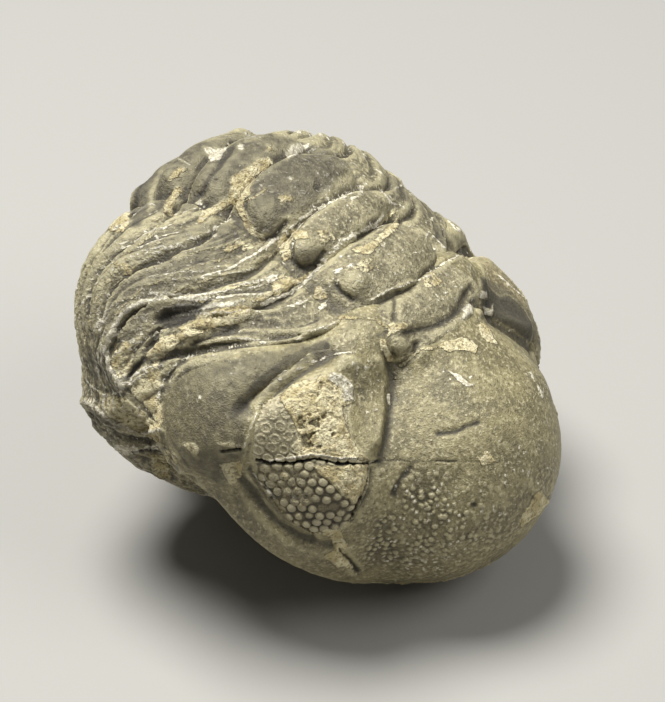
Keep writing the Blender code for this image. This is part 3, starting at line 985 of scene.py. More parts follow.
# %% Ridges, knobs, furrows and pits
ANIMAL_SHAPES = (
    (12.0, 0.25, ((272, 402), (292, 388), (320, 372), (350, 360))),
    (9.0, 0.45, ((345, 360), (362, 366), (371, 390), (371, 425), (366, 450))),
    (5.0, -0.2, ((318, 352), (300, 362), (282, 374), (266, 391))),
    (6.5, -0.5, ((328, 349), (312, 357), (292, 366), (275, 379), (257, 395))),
    (7.0, -0.25, ((257, 395), (240, 410))),
    (14.0, -0.7, ((316, 351), (290, 362), (266, 382), (248, 404))),
    (7.0, 0.5, ((376, 360), (381, 380), (380, 410), (375, 440))),
    (12.0, 0.8, ((399, 346),)),
    (4.0, -0.45, ((416, 345), (412, 356), (400, 365))),
    (14.0, 0.45, ((355, 283),)),
    (12.0, 0.5, ((307, 252),)),
    (14.0, 0.4, ((266, 217),)),
    (5.0, -0.35, ((475, 297), (465, 310), (435, 326), (405, 334))),
    (6.0, -0.35, ((388, 355), (393, 378), (391, 405), (387, 435), (380, 462))),
    (5.0, -0.25, ((250, 470), (260, 490), (275, 510), (292, 527), (312, 537))),
    (5.0, -0.35, ((372, 468), (368, 492), (352, 520))),
    (2.5, 0.15, ((262, 400), (252, 425), (245, 448))),
    (5.0, -0.5, ((320, 187), (345, 180), (365, 175))),
    (4.0, -0.4, ((165, 380), (175, 366), (186, 356), (212, 347), (252, 341), (300, 334))),
)
DAMAGE_SHAPES = (
    (22.0, 0.45, ((190, 452), (222, 446))),
    (3.0, -0.35, ((246, 200), (243, 215), (250, 232), (262, 240), (277, 236), (286, 222))),
    (3.0, -0.35, ((292, 242), (292, 258), (300, 268), (315, 266), (323, 252))),
    (3.0, -0.22, ((336, 284), (342, 294), (352, 299))),
    (3.0, -0.35, ((160, 332), (150, 345), (141, 361), (127, 381))),
    (3.0, -0.3, ((146, 170), (136, 190), (133, 215))),
    (3.5, -0.35, ((170, 214), (186, 208), (205, 206))),
    (5.0, -0.3, ((162, 319), (172, 313), (195, 307))),
    (4.5, 0.45, ((300, 284), (318, 269), (332, 254), (352, 239))),
    (3.0, 0.25, ((400, 287), (432, 275), (450, 262), (468, 252))),
    (9.0, 0.45, ((185, 332), (215, 318), (248, 308))),
    (4.0, -0.35, ((195, 343), (235, 329))),
    (10.0, 0.3, ((226, 232),)),
    (5.0, 0.35, ((84, 402), (95, 408), (115, 423), (140, 433), (160, 430))),
    (4.0, -0.4, ((88, 414), (118, 436), (150, 442))),
    (6.0, 0.4, ((165, 299), (140, 302), (121, 315), (111, 332), (105, 348), (109, 366), (122, 384))),
    (9.0, -0.55, ((204, 307), (184, 312), (163, 318))),
    (10.0, -0.2, ((148, 322), (134, 336), (126, 352))),
    (3.0, -0.3, ((132, 452), (155, 450))),
    (3.0, -0.4, ((340, 550), (350, 562), (357, 570))),
    (3.0, -0.2, ((474, 505),)),
    (4.0, -0.15, ((438, 434), (455, 432), (478, 422))),
    (4.0, -0.2, ((395, 494), (400, 480), (410, 468))),
    (3.0, -0.4, ((394, 303), (395, 318))),
    (4.0, -0.4, ((232, 146), (213, 170), (200, 195))),
    (2.0, -0.3, ((433, 272), (445, 262), (460, 255), (470, 251))),
)
print(len(ANIMAL_SHAPES) + len(DAMAGE_SHAPES), "small shapes")

# %% [markdown]
# ### Broken, pitted and warty places
#
# Where the shell broke off, the stone under it is lumpy. The mudstone in the eye is full of small
# pits, and the front of the glabella of small warts. These are areas for noise to fill. The last
# outline is the field of lenses on the eye.

# %% Areas for noise to fill
BROKEN_AREAS = (
    (1.0, ((84, 404), (125, 428), (160, 434), (178, 455), (205, 487), (150, 482), (110, 457))),
    (0.45, ((66, 340), (105, 300), (125, 330), (130, 385), (155, 425), (100, 410), (75, 385))),
    (0.6, ((160, 335), (185, 318), (215, 310), (250, 303), (255, 315), (215, 328), (180, 345))),
    (0.4, ((520, 480), (556, 470), (552, 500), (515, 535))),
)
PITTED_AREAS = (
    (0.9, ((296, 415), (328, 412), (338, 446), (302, 450))),
    (0.8, ((318, 380), (338, 386), (334, 396), (320, 390))),
)
TUBERCLE_AREAS = (
    (1.0, ((372, 520), (395, 490), (440, 480), (470, 505), (480, 540), (455, 572), (395, 580), (362, 560))),
    (0.55, ((395, 470), (450, 465), (500, 490), (520, 530), (480, 570), (380, 580), (360, 520))),
)
LENS_OUTLINE = ((262, 402), (284, 391), (305, 379), (330, 372), (352, 380), (356, 402), (348, 412),
                (352, 440), (370, 462), (369, 485), (354, 518), (332, 534), (312, 534), (290, 522),
                (272, 503), (258, 480), (252, 455), (254, 428))
print(len(BROKEN_AREAS), "broken areas, and lenses within", len(LENS_OUTLINE), "corners")

# %% [markdown]
# ## Making a piece
#
# Every piece of the lump is made in the same way: reach its surface, roughen it along its normals,
# store how much mudstone, calcite and shade each corner carries, and thin the mesh where the
# surface is plain. The coverings could be image textures, but those need an unwrapped mesh and
# blur close up. A number at each corner follows the shape as finely as the mesh does.

# %% Build one piece
MOST_TRIANGLES = 190000


def make_piece(name, points, triangles, masks):
    """A mesh object from points in the animal's axes, with its masks, thinned if it is too fine."""
    mesh = bpy.data.meshes.new(name)
    mesh.from_pydata(to_table(points) * MM, [], triangles.tolist())
    for mask, values in masks.items():
        layer = mesh.attributes.new(mask, "FLOAT", "POINT")
        layer.data.foreach_set("value", values.astype(np.float32))
    piece = bpy.data.objects.new(name, mesh)
    bpy.context.scene.collection.objects.link(piece)
    if len(triangles) > MOST_TRIANGLES:
        thin = piece.modifiers.new("thin", "DECIMATE")
        thin.ratio = MOST_TRIANGLES / len(triangles)
        ready = bpy.data.meshes.new_from_object(piece.evaluated_get(bpy.context.evaluated_depsgraph_get()))
        piece.modifiers.clear()
        piece.data = ready
    piece.data.shade_smooth()
    print(name, "has", len(piece.data.polygons), "triangles")
    return piece


print("a piece has at most", MOST_TRIANGLES, "triangles")

# %% Find how hollow each corner lies
HOLLOW_FULL = 0.06


def neighbour_mean(points, triangles):
    """Each corner moved to the middle of the corners around it."""
    total = np.zeros_like(points)
    count = np.bincount(triangles.ravel(), minlength=len(points)) * 2.0
    for column in range(3):
        others = points[triangles[:, (column + 1) % 3]] + points[triangles[:, (column + 2) % 3]]
        for axis_number in range(3):
            total[:, axis_number] += np.bincount(triangles[:, column], others[:, axis_number], len(points))
    return total / count[:, None]


def hollowness(points, triangles, rounds):
    """From -1 on ridges to 1 in hollows; more rounds of smoothing find broader ones."""
    smooth = points
    for _ in range(rounds):
        smooth = neighbour_mean(smooth, triangles)
    depth = np.sum((smooth - points) * surface_normals(points, triangles), axis=1)
    return np.clip(depth / HOLLOW_FULL, -1.0, 1.0)


print("a hollow counts as full when it is", HOLLOW_FULL, "mm deep")

# %% Where the camera sees a surface, and where marks land on it
RAGGED_PIXELS = 1.1


def mirrored(points):
    """The same places on the animal's right side."""
    return np.stack((np.abs(points[:, 0]), points[:, 1], points[:, 2]), 1)


def facing_weight(normals):
    """1 where the surface faces the camera, fading to 0 where it turns away."""
    return step(normals @ TO_CAMERA, 0.03, 0.22)


def ragged_view(points):
    """Picture places with noise added, which makes the edges of marks ragged."""
    seen = picture_place(points)
    for column in range(2):
        seen[:, column] += RAGGED_PIXELS * rough(points, 0.9, 3, 11 + column)
    return seen


print("the middle of the body shows at", picture_place(np.zeros((1, 3))).round(0), "in the picture")

# %% Small shapes
CRACK_DEPTH = 0.5
CRACK_RAGGEDNESS = 0.35
BROKEN_HEIGHT = 0.55


def small_shapes(points, triangles):
    """Height of knobs, furrows, broken patches and the crack, and how strongly the crack is there."""
    normals = surface_normals(points, triangles)
    right_normals = np.stack((normals[:, 0] * np.sign(points[:, 0]), normals[:, 1], normals[:, 2]), 1)
    height = np.zeros(len(points))
    lay_shapes(height, picture_place(mirrored(points)), facing_weight(right_normals), ANIMAL_SHAPES)
    straight = picture_place(points)
    seen = ragged_view(points)
    weight = facing_weight(normals)
    lay_shapes(height, seen, weight, DAMAGE_SHAPES)
    crack = np.zeros(len(points))
    lay_lines(crack, straight + CRACK_RAGGEDNESS * (seen - straight), weight, CRACK_LINES, 0.9)
    broken = np.zeros(len(points))
    lay_outlines(broken, seen, weight, BROKEN_AREAS, 6.0)
    height += BROKEN_HEIGHT * broken * (0.35 - np.abs(rough(points, 2.0, 4, 41)))
    return height - CRACK_DEPTH * crack ** 2, crack


print("the crack is", CRACK_DEPTH, "mm deep")

# %% Coatings where the picture shows them
COATINGS = (
    # Layer, how its marks are laid, the marks, and how soft their edges are in pixels
    ("mudstone", lay_outlines, MUDSTONE_AREAS, 2.2),
    ("mudstone", lay_lines, MUDSTONE_LINES, 1.8),
    ("calcite", lay_outlines, CALCITE_AREAS, 1.2),
    ("calcite", lay_lines, CALCITE_LINES, 1.0),
    ("dark", lay_outlines, DARK_AREAS, 3.5),
    ("sprinkle", lay_outlines, SPRINKLED_AREAS, 5.0),
    ("pits", lay_outlines, PITTED_AREAS, 3.0),
)
DARK_LINE_SOFTNESS = 1.5
DARK_COVERED_BY_CRUST = 0.7


def strengthen(layers, name, amount):
    layers[name] = np.maximum(layers[name], amount)


def coatings(points, triangles):
    """Mudstone, calcite and darkness for every corner, from 0 to 1, and what the camera sees."""
    weight = facing_weight(surface_normals(points, triangles))
    seen = ragged_view(points)
    layers = {name: np.zeros(len(points)) for name, *rest in COATINGS}
    for name, lay, marks, softness in COATINGS:
        lay(layers[name], seen, weight, marks, softness)
    # The dark layer holds dirt and painted shade; crusts of mudstone and calcite cover part of it.
    layers["dark"] *= 1.0 - DARK_COVERED_BY_CRUST * np.maximum(layers["mudstone"], layers["calcite"])
    lay_lines(layers["dark"], seen, weight, DARK_LINES, DARK_LINE_SOFTNESS)
    layers["pits"] *= step(rough(points, 0.45, 2, 31), 0.1, 0.35)
    return layers, weight


# The dark layer under the crusts is dirt and painted shade.
print("mudstone and calcite hide", DARK_COVERED_BY_CRUST, "of the dirt under them")

# %% [markdown]
# ## The side that the picture doesn't show
#
# Marks can be traced only where the camera sees them. The hidden side gets the same kind of finish
# from rules: calcite and mudstone sit in the seams between the segments, mudstone lies in patches
# in the hollows, and the underside is mostly mudstone.

# %% Coatings from rules
PATCH_EDGES = (0.42, 0.6)
SEAM_CALCITE_WIDTH = 0.32
UNDERSIDE_MM = (3.0, 9.0)


def hidden_coatings(points, hollow, layers, weight, in_seams):
    hidden = 1.0 - weight
    patches = step(rough(points, 5.0, 4, 21) + 0.35 * hollow, *PATCH_EDGES)
    seam = step(SEAM_CALCITE_WIDTH - in_seams + 0.12 * rough(points, 0.8, 2, 22), 0.0, 0.12)
    along = step(rough(points, 6.0, 2, 23), -0.3, 0.1)
    low = 1.0 - step(to_table(points)[:, 2] + 2.5 * rough(points, 4.0, 3, 24), *UNDERSIDE_MM)
    strengthen(layers, "mudstone", hidden * np.maximum(patches, low))
    strengthen(layers, "calcite", hidden * seam * along * 0.9)


print("the underside is muddy up to about", UNDERSIDE_MM[1], "mm above the table")

# %% [markdown]
# ## From a plain surface to a finished piece
#
# The order matters. The small shapes come first, because mudstone gathers in the hollows that
# they make, and those hollows are darkened as painted shade. Then the coverings are laid, and they
# and the grit add their own thickness. Last, anything below the table is pressed up to it, which
# leaves the small flat spot that the fossil rests on.

# %% Finish a surface
MUD_THICKNESS = 0.1
MUD_GRIT = 0.06
CALCITE_THICKNESS = 0.1
SHELL_GRIT = 0.012
PIT_DEPTH = 0.25
FINE_ROUNDS = 6
MEDIUM_ROUNDS = 10
BROAD_ROUNDS = 40


def lift(points, triangles, height):
    return points + surface_normals(points, triangles) * height[:, None]


def keep_above_table(points):
    table = to_table(points)
    table[:, 2] = np.maximum(table[:, 2], 0.0)
    return to_animal(table)


def finish_surface(name, points, triangles, unevenness, dust, in_seams, extra):
    """Adds small shapes, coatings and grit to a plain surface, and makes the piece."""
    shapes, crack = small_shapes(points, triangles)
    points = lift(points, triangles, shapes)
    layers, weight = coatings(points, triangles)
    hollow = hollowness(points, triangles, MEDIUM_ROUNDS)
    hidden_coatings(points, hollow, layers, weight, in_seams(points))
    height = unevenness * rough(points, 1.8, 4, 3)
    grit = rough(points, 0.45, 2, 7)
    height += layers["mudstone"] * (MUD_THICKNESS + MUD_GRIT * grit) + layers["calcite"] * CALCITE_THICKNESS
    pits = layers.pop("pits")
    height += SHELL_GRIT * grit - PIT_DEPTH * pits
    # The pits are darkened: painted shade in them.
    strengthen(layers, "dark", 0.8 * pits)
    strengthen(layers, "sprinkle", dust)
    extra_height, rub_and_highlight = extra(points, weight, layers)
    points = lift(points, triangles, height + extra_height)
    points = keep_above_table(points)
    masks = dict(layers, crack=crack, rub_and_highlight=rub_and_highlight, hollow=hollowness(points, triangles, FINE_ROUNDS),
                 broad_hollow=hollowness(points, triangles, BROAD_ROUNDS) * 0.6)
    return make_piece(name, points, triangles, masks)


print("a coating of mudstone is", MUD_THICKNESS, "mm thick, one of calcite", CALCITE_THICKNESS, "mm")

# %% Start from a sphere
CAMERA_CROWDING = 0.42
FAR_FROM_SEAMS = 9.0


def crowded(directions):
    """Directions gathered towards the camera, so that the side it sees has the finer mesh."""
    moved = directions + CAMERA_CROWDING * TO_CAMERA
    return moved / np.linalg.norm(moved, axis=1)[:, None]


def build_lump(name, solid, middle, unevenness, dust, in_seams, extra):
    directions = crowded(sphere_directions)
    points = middle + directions * reach_along(solid, middle, directions)[:, None]
    return finish_surface(name, points, sphere_triangles, unevenness, dust, in_seams, extra)


def no_seams(points):
    return np.full(len(points), FAR_FROM_SEAMS)


print("corners are gathered towards the camera by", CAMERA_CROWDING)

# %% [markdown]
# ## The head shield
#
# The front of the glabella is covered with small warts, the tubercles, worn round and tipped with
# white where the shell is rubbed through. They are only about half a millimetre wide, but they
# catch the light one by one, so they are mesh and not a bump map. The place where each eye's lenses
# sit is lowered here, and the eye itself is a piece of its own with a finer mesh.

# %% The lens field and the tubercles
TUBERCLE_SPACING = 0.6
TUBERCLE_RADIUS = 0.27
TUBERCLE_HEIGHT = 0.19
WHITE_TIP_SHARE = 0.4


def lens_field(points):
    """How far inside the lens field a place is, in picture pixels, negative outside."""
    seen = picture_place(mirrored(points))
    side = np.abs(points[:, 0])
    possible = np.flatnonzero((side > 9.5) & (points[:, 1] > -7.0) & (points[:, 2] > 9.0))
    depth = np.full(len(points), -30.0)
    depth[possible] = within_outline(seen[possible], LENS_OUTLINE)
    return depth


def tubercles(points, weight):
    """Height of the small warts on the front of the glabella, their tops, and those with a white tip."""
    there = np.zeros(len(points))
    lay_outlines(there, picture_place(points), weight, TUBERCLE_AREAS, 11.0)
    front = step(points[:, 1], 17.0, 23.0) * (1.0 - step(points[:, 2], 12.0, 19.0))
    there = np.maximum(there, (1.0 - weight) * front)
    distance, random = grains(points, TUBERCLE_SPACING, 9)
    wart = dome(distance, TUBERCLE_RADIUS * (0.65 + 0.6 * random))
    tops = there * step(wart, 0.3, 0.8)
    return TUBERCLE_HEIGHT * wart * (0.5 + 0.7 * random) * there, tops, tops * (random < WHITE_TIP_SHARE)


print("tubercles are about", 2 * TUBERCLE_RADIUS, "mm wide")

# %% Build the head shield
HEAD_MIDDLE = np.array((0.0, 2.5, 9.5))
HEAD_UNEVENNESS = 0.035
HEAD_DUST = 0.15
LENS_BED = 0.45


def head_extra(points, weight, layers):
    """Height of the tubercles and of the hollow for each eye's lenses, and how pale the tubercles' tops are:
    partly rubbed, partly painted highlight.
    """
    warts, tops, white_tips = tubercles(points, weight)
    strengthen(layers, "calcite", 0.9 * white_tips)
    field = lens_field(points)
    strengthen(layers, "dark", 0.3 * step(field, -1.0, 1.0))
    return warts - LENS_BED * step(field, 0.5, 4.0), tops * 0.5


head = build_lump("head_shield", head_solid, HEAD_MIDDLE, HEAD_UNEVENNESS, HEAD_DUST, no_seams, head_extra)
print("the head shield has", len(head.data.vertices), "corners")

# %% [markdown]
# ## The rolled body
#
# Rings, ribs and the mound are already in the body's solid. What is left is the fibrous look of
# the ribs: thin ridges along them, left by scraping and by the layers of the shell, some with
# calcite on them and with darker low lines in between. Noise stretched along the ribs gives them.

# %% Build the rolled body
BODY_MIDDLE = np.array((0.0, -1.1, 4.9))
BODY_UNEVENNESS = 0.09
BODY_DUST = 0.45
FIBRE_WIDTH = 0.45
FIBRE_LENGTH = 5.0
FIBRE_HEIGHT = 0.09


def body_seams(points):
    return seam_place(*points.T)[0]


def body_extra(points, weight, layers):
    """Height of the fibres along the ribs. Nothing on the body is rubbed pale or given a painted highlight.
    """
    x, y, z = points.T
    distance, angle = roll_coordinates(x, y, z)
    across = np.radians(angle - rib_lag(np.abs(x))) * distance
    stretched = np.stack((across / FIBRE_WIDTH, x / FIBRE_LENGTH, distance / FIBRE_LENGTH), 1)
    fibres = rough(stretched, 1.0, 3, 51)
    on_ribs = 1.0 - seam_place(x, y, z)[2]
    patches = step(rough(points, 4.0, 3, 52), -0.4, 0.3)
    strengthen(layers, "calcite", 0.9 * on_ribs * patches * step(fibres, 0.3, 0.65))
    strengthen(layers, "dark", 0.55 * on_ribs * step(-fibres, 0.3, 0.8))
    return FIBRE_HEIGHT * on_ribs * fibres, np.zeros(len(points))


body = build_lump("rolled_body", rolled_body, BODY_MIDDLE, BODY_UNEVENNESS, BODY_DUST, body_seams, body_extra)
print("fibres are", FIBRE_WIDTH, "mm wide and about", FIBRE_LENGTH, "mm long")

# %% [markdown]
# ## The eyes
#
# Each eye is a tall bean of stone with about a hundred big lenses on its outer side, in rows like a
# honeycomb. Real lenses are calcite, hard enough to last while the rim around them wore down. Each
# one here is a dome of mesh, because they are large enough to catch the light one by one. The
# honeycomb is laid out flat around the middle of the lens field, where it hardly stretches.
# Below the crack the lenses stand up, and above it they are worn flat and show as rings.

# %% The honeycomb of lenses
LENS_PITCH = 0.95
LENS_WANDER = 0.1
LENS_SHELL_MIDDLE = np.array((9.0, 3.5, 13.0))
LENS_SHELL_REACH = 10.7
LENS_TURN_DEGREES = 12.0


def flat_layout(points):
    """Places on the lens field rolled out flat, in mm along and across its rows."""
    out = mirrored(points) - LENS_SHELL_MIDDLE
    out /= np.linalg.norm(out, axis=1)[:, None]
    middle = np.array((0.95, 0.0, 0.31))
    forward = np.array((0.0, 1.0, 0.0))
    upward = np.cross(middle, forward)
    flat = np.stack((out @ forward, out @ upward), 1)
    spread = np.arccos(np.clip(out @ middle, -1.0, 1.0)) / (np.hypot(*flat.T) + 1e-6) * LENS_SHELL_REACH
    turn = math.radians(LENS_TURN_DEGREES)
    across = spread * (flat[:, 0] * math.cos(turn) + flat[:, 1] * math.sin(turn))
    return across, spread * (flat[:, 1] * math.cos(turn) - flat[:, 0] * math.sin(turn))


def lens_layout(points):
    """Distance in mm to the middle of the nearest lens, and a random number for that lens."""
    across, up = flat_layout(points)
    row_height = LENS_PITCH * math.sqrt(0.75)
    nearest = np.full(len(points), 9.0)
    random = np.zeros(len(points))
    for shift in (-1, 0, 1):
        row = np.round(up / row_height) + shift
        offset = 0.5 * LENS_PITCH * (row % 2)
        number = np.round((across - offset) / LENS_PITCH)
        chance = np.sin(number * 12.99 + row * 78.23) * 43758.5
        chance -= np.floor(chance)
        wander = LENS_WANDER * np.sin(chance * 40.0)
        distance = np.hypot(across - offset - number * LENS_PITCH - wander, up - row * row_height + wander)
        closer = distance < nearest
        nearest = np.where(closer, distance, nearest)
        random = np.where(closer, chance, random)
    return nearest, random


print("lenses stand", LENS_PITCH, "mm apart")

# %% The lenses' shape
LENS_RADIUS = 0.43
LENS_HEIGHT = 0.2
LENS_SUNK = 0.08
LOST_LENS_SHARE = 0.05
WORN_ABOVE_PIXEL = 460.0
WORN_FADE_PIXELS = 12.0
RIM_RADIUS = 0.33
RIM_WIDTH = 0.07
RIM_HEIGHT = 0.11
RIM_SUNK = 0.04
CRUST_HEIGHT = 0.06


def eye_extra(points, weight, layers):
    """Lens domes on the lens field, except where the far eye turns its smooth upper rim to the viewer."""
    field = lens_field(points)
    inside = step(field, -1.0, 3.0) * (1.0 - weight * (points[:, 0] < 0.0))
    distance, random = lens_layout(points)
    worn = 1.0 - step(picture_place(mirrored(points))[:, 1], WORN_ABOVE_PIXEL - WORN_FADE_PIXELS,
                      WORN_ABOVE_PIXEL + WORN_FADE_PIXELS)
    lens = dome(distance, LENS_RADIUS * (0.78 + 0.22 * random)) * (random > LOST_LENS_SHARE)
    rim = bump(distance, RIM_RADIUS, RIM_WIDTH)
    height = (1.0 - worn) * (LENS_HEIGHT * lens - LENS_SUNK) + worn * (RIM_HEIGHT * rim - RIM_SUNK)
    crust = CRUST_HEIGHT * layers["mudstone"] * rough(points, 0.5, 3, 61)
    bare = 1.0 - layers["mudstone"]
    gaps = step(distance, 0.36, 0.47)
    layers["dark"] *= 0.6
    # Painted shade in the gaps between the lenses, stronger below the crack where the lenses stand up.
    strengthen(layers, "dark", (0.75 - 0.35 * worn) * gaps * bare * inside)
    # Paler lens tops below the crack, partly rubbing and partly painted highlight; above it the worn lenses
    # are rubbed pale, most on their rims.
    rub_and_highlight = (1.0 - worn) * step(lens, 0.1, 0.7) * (0.35 + 0.9 * random) + worn * (0.85 + 0.6 * rim)
    return inside * bare * height + crust, inside * bare * rub_and_highlight


print("a lens is", 2 * LENS_RADIUS, "mm wide and stands", round(LENS_HEIGHT - LENS_SUNK, 2), "mm out")

# %% [markdown]
# ### Two eyes
#
# An eye is the part of the head's surface around the lens field, on a sphere of its own with a
# finer mesh. Outside the field it is drawn in under the head shield, so only the field shows. The
# left eye mirrors the right one. Little of it is seen, so its mesh is coarser.

# %% Build the eyes
EYE_UNEVENNESS = 0.03
EYE_DUST = 0.2
EYE_DRAWN_IN = 1.5
EYE_MOST_REACH = 9.6
LEFT_EYE_LEVEL = LEVEL - 1


def build_eye(name, side, level):
    """One eye; side is 1 for the animal's right and -1 for its left."""
    directions, triangles = sphere_mesh(level)
    mirror = np.array((side, 1.0, 1.0))
    if side < 0:
        triangles = triangles[:, ::-1]
    directions = directions * mirror
    middle = np.array(EYE_CENTRE) * mirror
    reach = np.minimum(reach_along(head_solid, middle, directions), EYE_MOST_REACH)
    field = lens_field(middle + directions * reach[:, None])
    reach -= EYE_DRAWN_IN * (1.0 - step(field, -4.0, 0.0))
    points = middle + directions * reach[:, None]
    return finish_surface(name, points, triangles, EYE_UNEVENNESS, EYE_DUST, no_seams, eye_extra)


right_eye = build_eye("right_eye", 1, LEVEL)
left_eye = build_eye("left_eye", -1, LEFT_EYE_LEVEL)
print("the eyes are", (right_eye.name, left_eye.name))

# %% [markdown]
# ## The stone
#
# The shell is calcite turned to dull olive grey limestone, worn by cleaning: mottled, a little
# darker in hollows, which is painted shade, and paler on ridges, with a faint gloss where it is
# bare. The mudstone is a softer stone of very fine grit, scraped back, cream to tan and fully matt.
# The calcite in the veins grew as small crystals and is off-white. All three run into one another
# within less than a millimetre, so one node tree mixes them by the masks on the mesh, and noise
# breaks up the edges of the masks.

# %% Node tools
def linear(hex_colour):
    """An sRGB hex value as a linear colour with alpha."""
    parts = [int(hex_colour[place:place + 2], 16) / 255.0 for place in (1, 3, 5)]
    return [part / 12.92 if part <= 0.04045 else ((part + 0.055) / 1.055) ** 2.4 for part in parts] + [1.0]


def add_node(tree, kind, sockets, **settings):
    """Adds a node with its settings; a socket's value is a constant or the output that feeds it."""
    node = tree.nodes.new(kind)
    for name, value in settings.items():
        setattr(node, name, value)
    for name, value in sockets.items():
        if isinstance(value, bpy.types.NodeSocket):
            tree.links.new(value, node.inputs[name])
        else:
            node.inputs[name].default_value = value
    return node


def per_metre(size_mm):
    """The scale that gives a texture features of about this size."""
    return 1.0 / (size_mm * MM)


print("olive grey is", [round(part, 3) for part in linear("#857c58")], "as a linear colour")

# %% [markdown]
# ### Three tables make the stone
#
# The recipe is data, read from top to bottom. The first table is the noise that stands for grain.
# The second turns noise and the masks on the mesh into amounts: how dark with dirt and painted
# shade, how muddy, how worn. The third paints, each line laying one colour over another by one of
# those amounts. Written like this a colour can be changed without following wires.

# %% Grain
MASKS = ("hollow", "broad_hollow", "rub_and_highlight", "mudstone", "calcite", "sprinkle", "dark", "crack")
GRAIN_ROUGHNESS = 0.6
GRAIN_SIZES = (
    # Name, size of its lumps in millimetres, and how many finer layers lie on them
    ("slow", 3.5, 3.0),         # weather stains
    ("flake_patch", 2.6, 3.0),  # where flakes of calcite gather
    ("mud_patch", 1.6, 3.0),    # paler and darker mudstone
    ("middling", 1.1, 3.0),     # spots of the shell
    ("edge", 0.7, 5.0),         # ragged edges of crusts and veins
    ("flake", 0.45, 5.0),       # single flakes of calcite
    ("fine", 0.35, 4.0),        # crystals of the shell, really about 0.1 mm, which wouldn't show
    ("grit", 0.16, 2.0),        # grit of the mudstone, really under 0.06 mm, which wouldn't show
)
print(len(GRAIN_SIZES), "sizes of grain, from", GRAIN_SIZES[-1][1], "to", GRAIN_SIZES[0][1], "mm")

# %% Amounts
SHELL_ROUGHNESS = 0.52  # rubbed limestone, less rough than a fresh break
MUDSTONE_ROUGHNESS = 0.9
AMOUNTS = (
    # Result, operation, what it works on, and then one more amount or number.
    # RANGE fades between two values and takes those and the most it gives.
    # Light, pale and dark spots of the shell
    ("mottled", "RANGE", "slow", 0.38, 0.62, 1.0),
    ("pale_spots", "RANGE", "middling", 0.50, 0.62, 0.6),
    ("dark_grit", "RANGE", "fine", 0.47, 0.32, 0.75),
    ("pale_grit", "RANGE", "fine", 0.54, 0.66, 0.7),
    # Painted shade in hollows and wear on ridges, broken up by grain
    ("uneven", "SUBTRACT", "middling", 0.5),
    ("uneven", "MULTIPLY", "uneven", 0.8),
    ("hollow", "ADD", "hollow", "uneven"),
    ("broad_hollow_shade", "RANGE", "broad_hollow", 0.1, 0.9, 0.6),
    ("hollow_shade", "RANGE", "hollow", 0.15, 1.0, 0.6),
    ("worn", "RANGE", "hollow", -0.15, -0.8, 0.45),
    ("rub_and_highlight", "MULTIPLY", "rub_and_highlight", 0.6),
    # Mudstone, with ragged edges
    ("ragged", "SUBTRACT", "edge", 0.5),
    ("ragged", "MULTIPLY", "ragged", 1.9),
    ("mudstone", "ADD", "mudstone", "ragged"),
    ("muddy", "RANGE", "mudstone", 0.3, 0.58, 1.0),
    ("mud_mottled", "RANGE", "mud_patch", 0.38, 0.6, 1.0),
    ("mud_grit", "RANGE", "fine", 0.5, 0.36, 0.75),
    ("mud_hollow_shade", "RANGE", "hollow", 0.1, 0.9, 0.55),
    # Calcite, in veins and in loose flakes
    ("flake", "RANGE", "flake", 0.56, 0.62, 1.0),
    ("flake_patch", "RANGE", "flake_patch", 0.42, 0.56, 1.0),
    ("flake", "MULTIPLY", "flake", "flake_patch"),
    ("flake", "MULTIPLY", "flake", "sprinkle"),
    ("calcite", "MAXIMUM", "calcite", "flake"),
    ("calcite", "ADD", "calcite", "ragged"),
    ("veined", "RANGE", "calcite", 0.4, 0.62, 1.0),
    ("calcite_mottled", "RANGE", "fine", 0.42, 0.6, 1.0),
    # Dark dirt and painted shade
    ("slightly_ragged", "MULTIPLY", "ragged", 0.4),
    ("dark", "ADD", "dark", "slightly_ragged"),
    ("dirt_and_shade", "RANGE", "dark", 0.0, 1.0, 0.85),
    # Gloss: bare shell has a little, mudstone and the dark places have none
    ("rough", "MULTIPLY", "dirt_and_shade", 0.8),
    ("rough", "MAXIMUM", "rough", "muddy"),
    ("rough", "MULTIPLY", "rough", MUDSTONE_ROUGHNESS - SHELL_ROUGHNESS),
    ("rough", "ADD", "rough", SHELL_ROUGHNESS),
    # Relief too fine for the mesh
    ("relief", "MULTIPLY", "fine", "grain_relief"),
    ("grit", "MULTIPLY", "grit", 0.3),
    ("relief", "ADD", "relief", "grit"),
    ("mud_relief", "MULTIPLY", "muddy", "fine"),
    ("mud_relief", "MULTIPLY", "mud_relief", 1.4),
    ("relief", "ADD", "relief", "mud_relief"),
    ("vein_relief", "MULTIPLY", "veined", 0.25),
    ("relief", "ADD", "relief", "vein_relief"),
)
print(len(AMOUNTS), "steps from noise and masks to amounts")

# %% Colours
PAINT = (
    # Result, colour below, colour above, and the amount of the one above
    ("shell", "dark_shell", "light_shell", "mottled"),
    ("shell", "shell", "pale_shell", "pale_spots"),
    ("shell", "shell", "#453e2b", "dark_grit"),
    ("shell", "shell", "#bdb391", "pale_grit"),
    # Painted shade: the shell is darkened in broad and in narrow hollows
    ("shell", "shell", "#3a3526", "broad_hollow_shade"),
    ("shell", "shell", "#2c271a", "hollow_shade"),
    ("shell", "shell", "#b9b08a", "worn"),
    # Paler tops of lenses and tubercles: partly rubbing, partly painted highlight.
    ("shell", "shell", "#b8af90", "rub_and_highlight"),
    ("mud", "#b8a97c", "#dbd0a8", "mud_mottled"),
    ("mud", "mud", "#7d7050", "mud_grit"),
    # Painted shade: the mudstone is darkened in its hollows
    ("mud", "mud", "#5d5034", "mud_hollow_shade"),
    ("calcite", "#a9a188", "#ddd6c0", "calcite_mottled"),
    ("stone", "shell", "mud", "muddy"),
    ("stone", "stone", "calcite", "veined"),
    ("stone", "stone", "#25211a", "dirt_and_shade"),
    ("stone", "stone", "#120f0b", "crack"),
)
print(len(PAINT), "layers of paint")

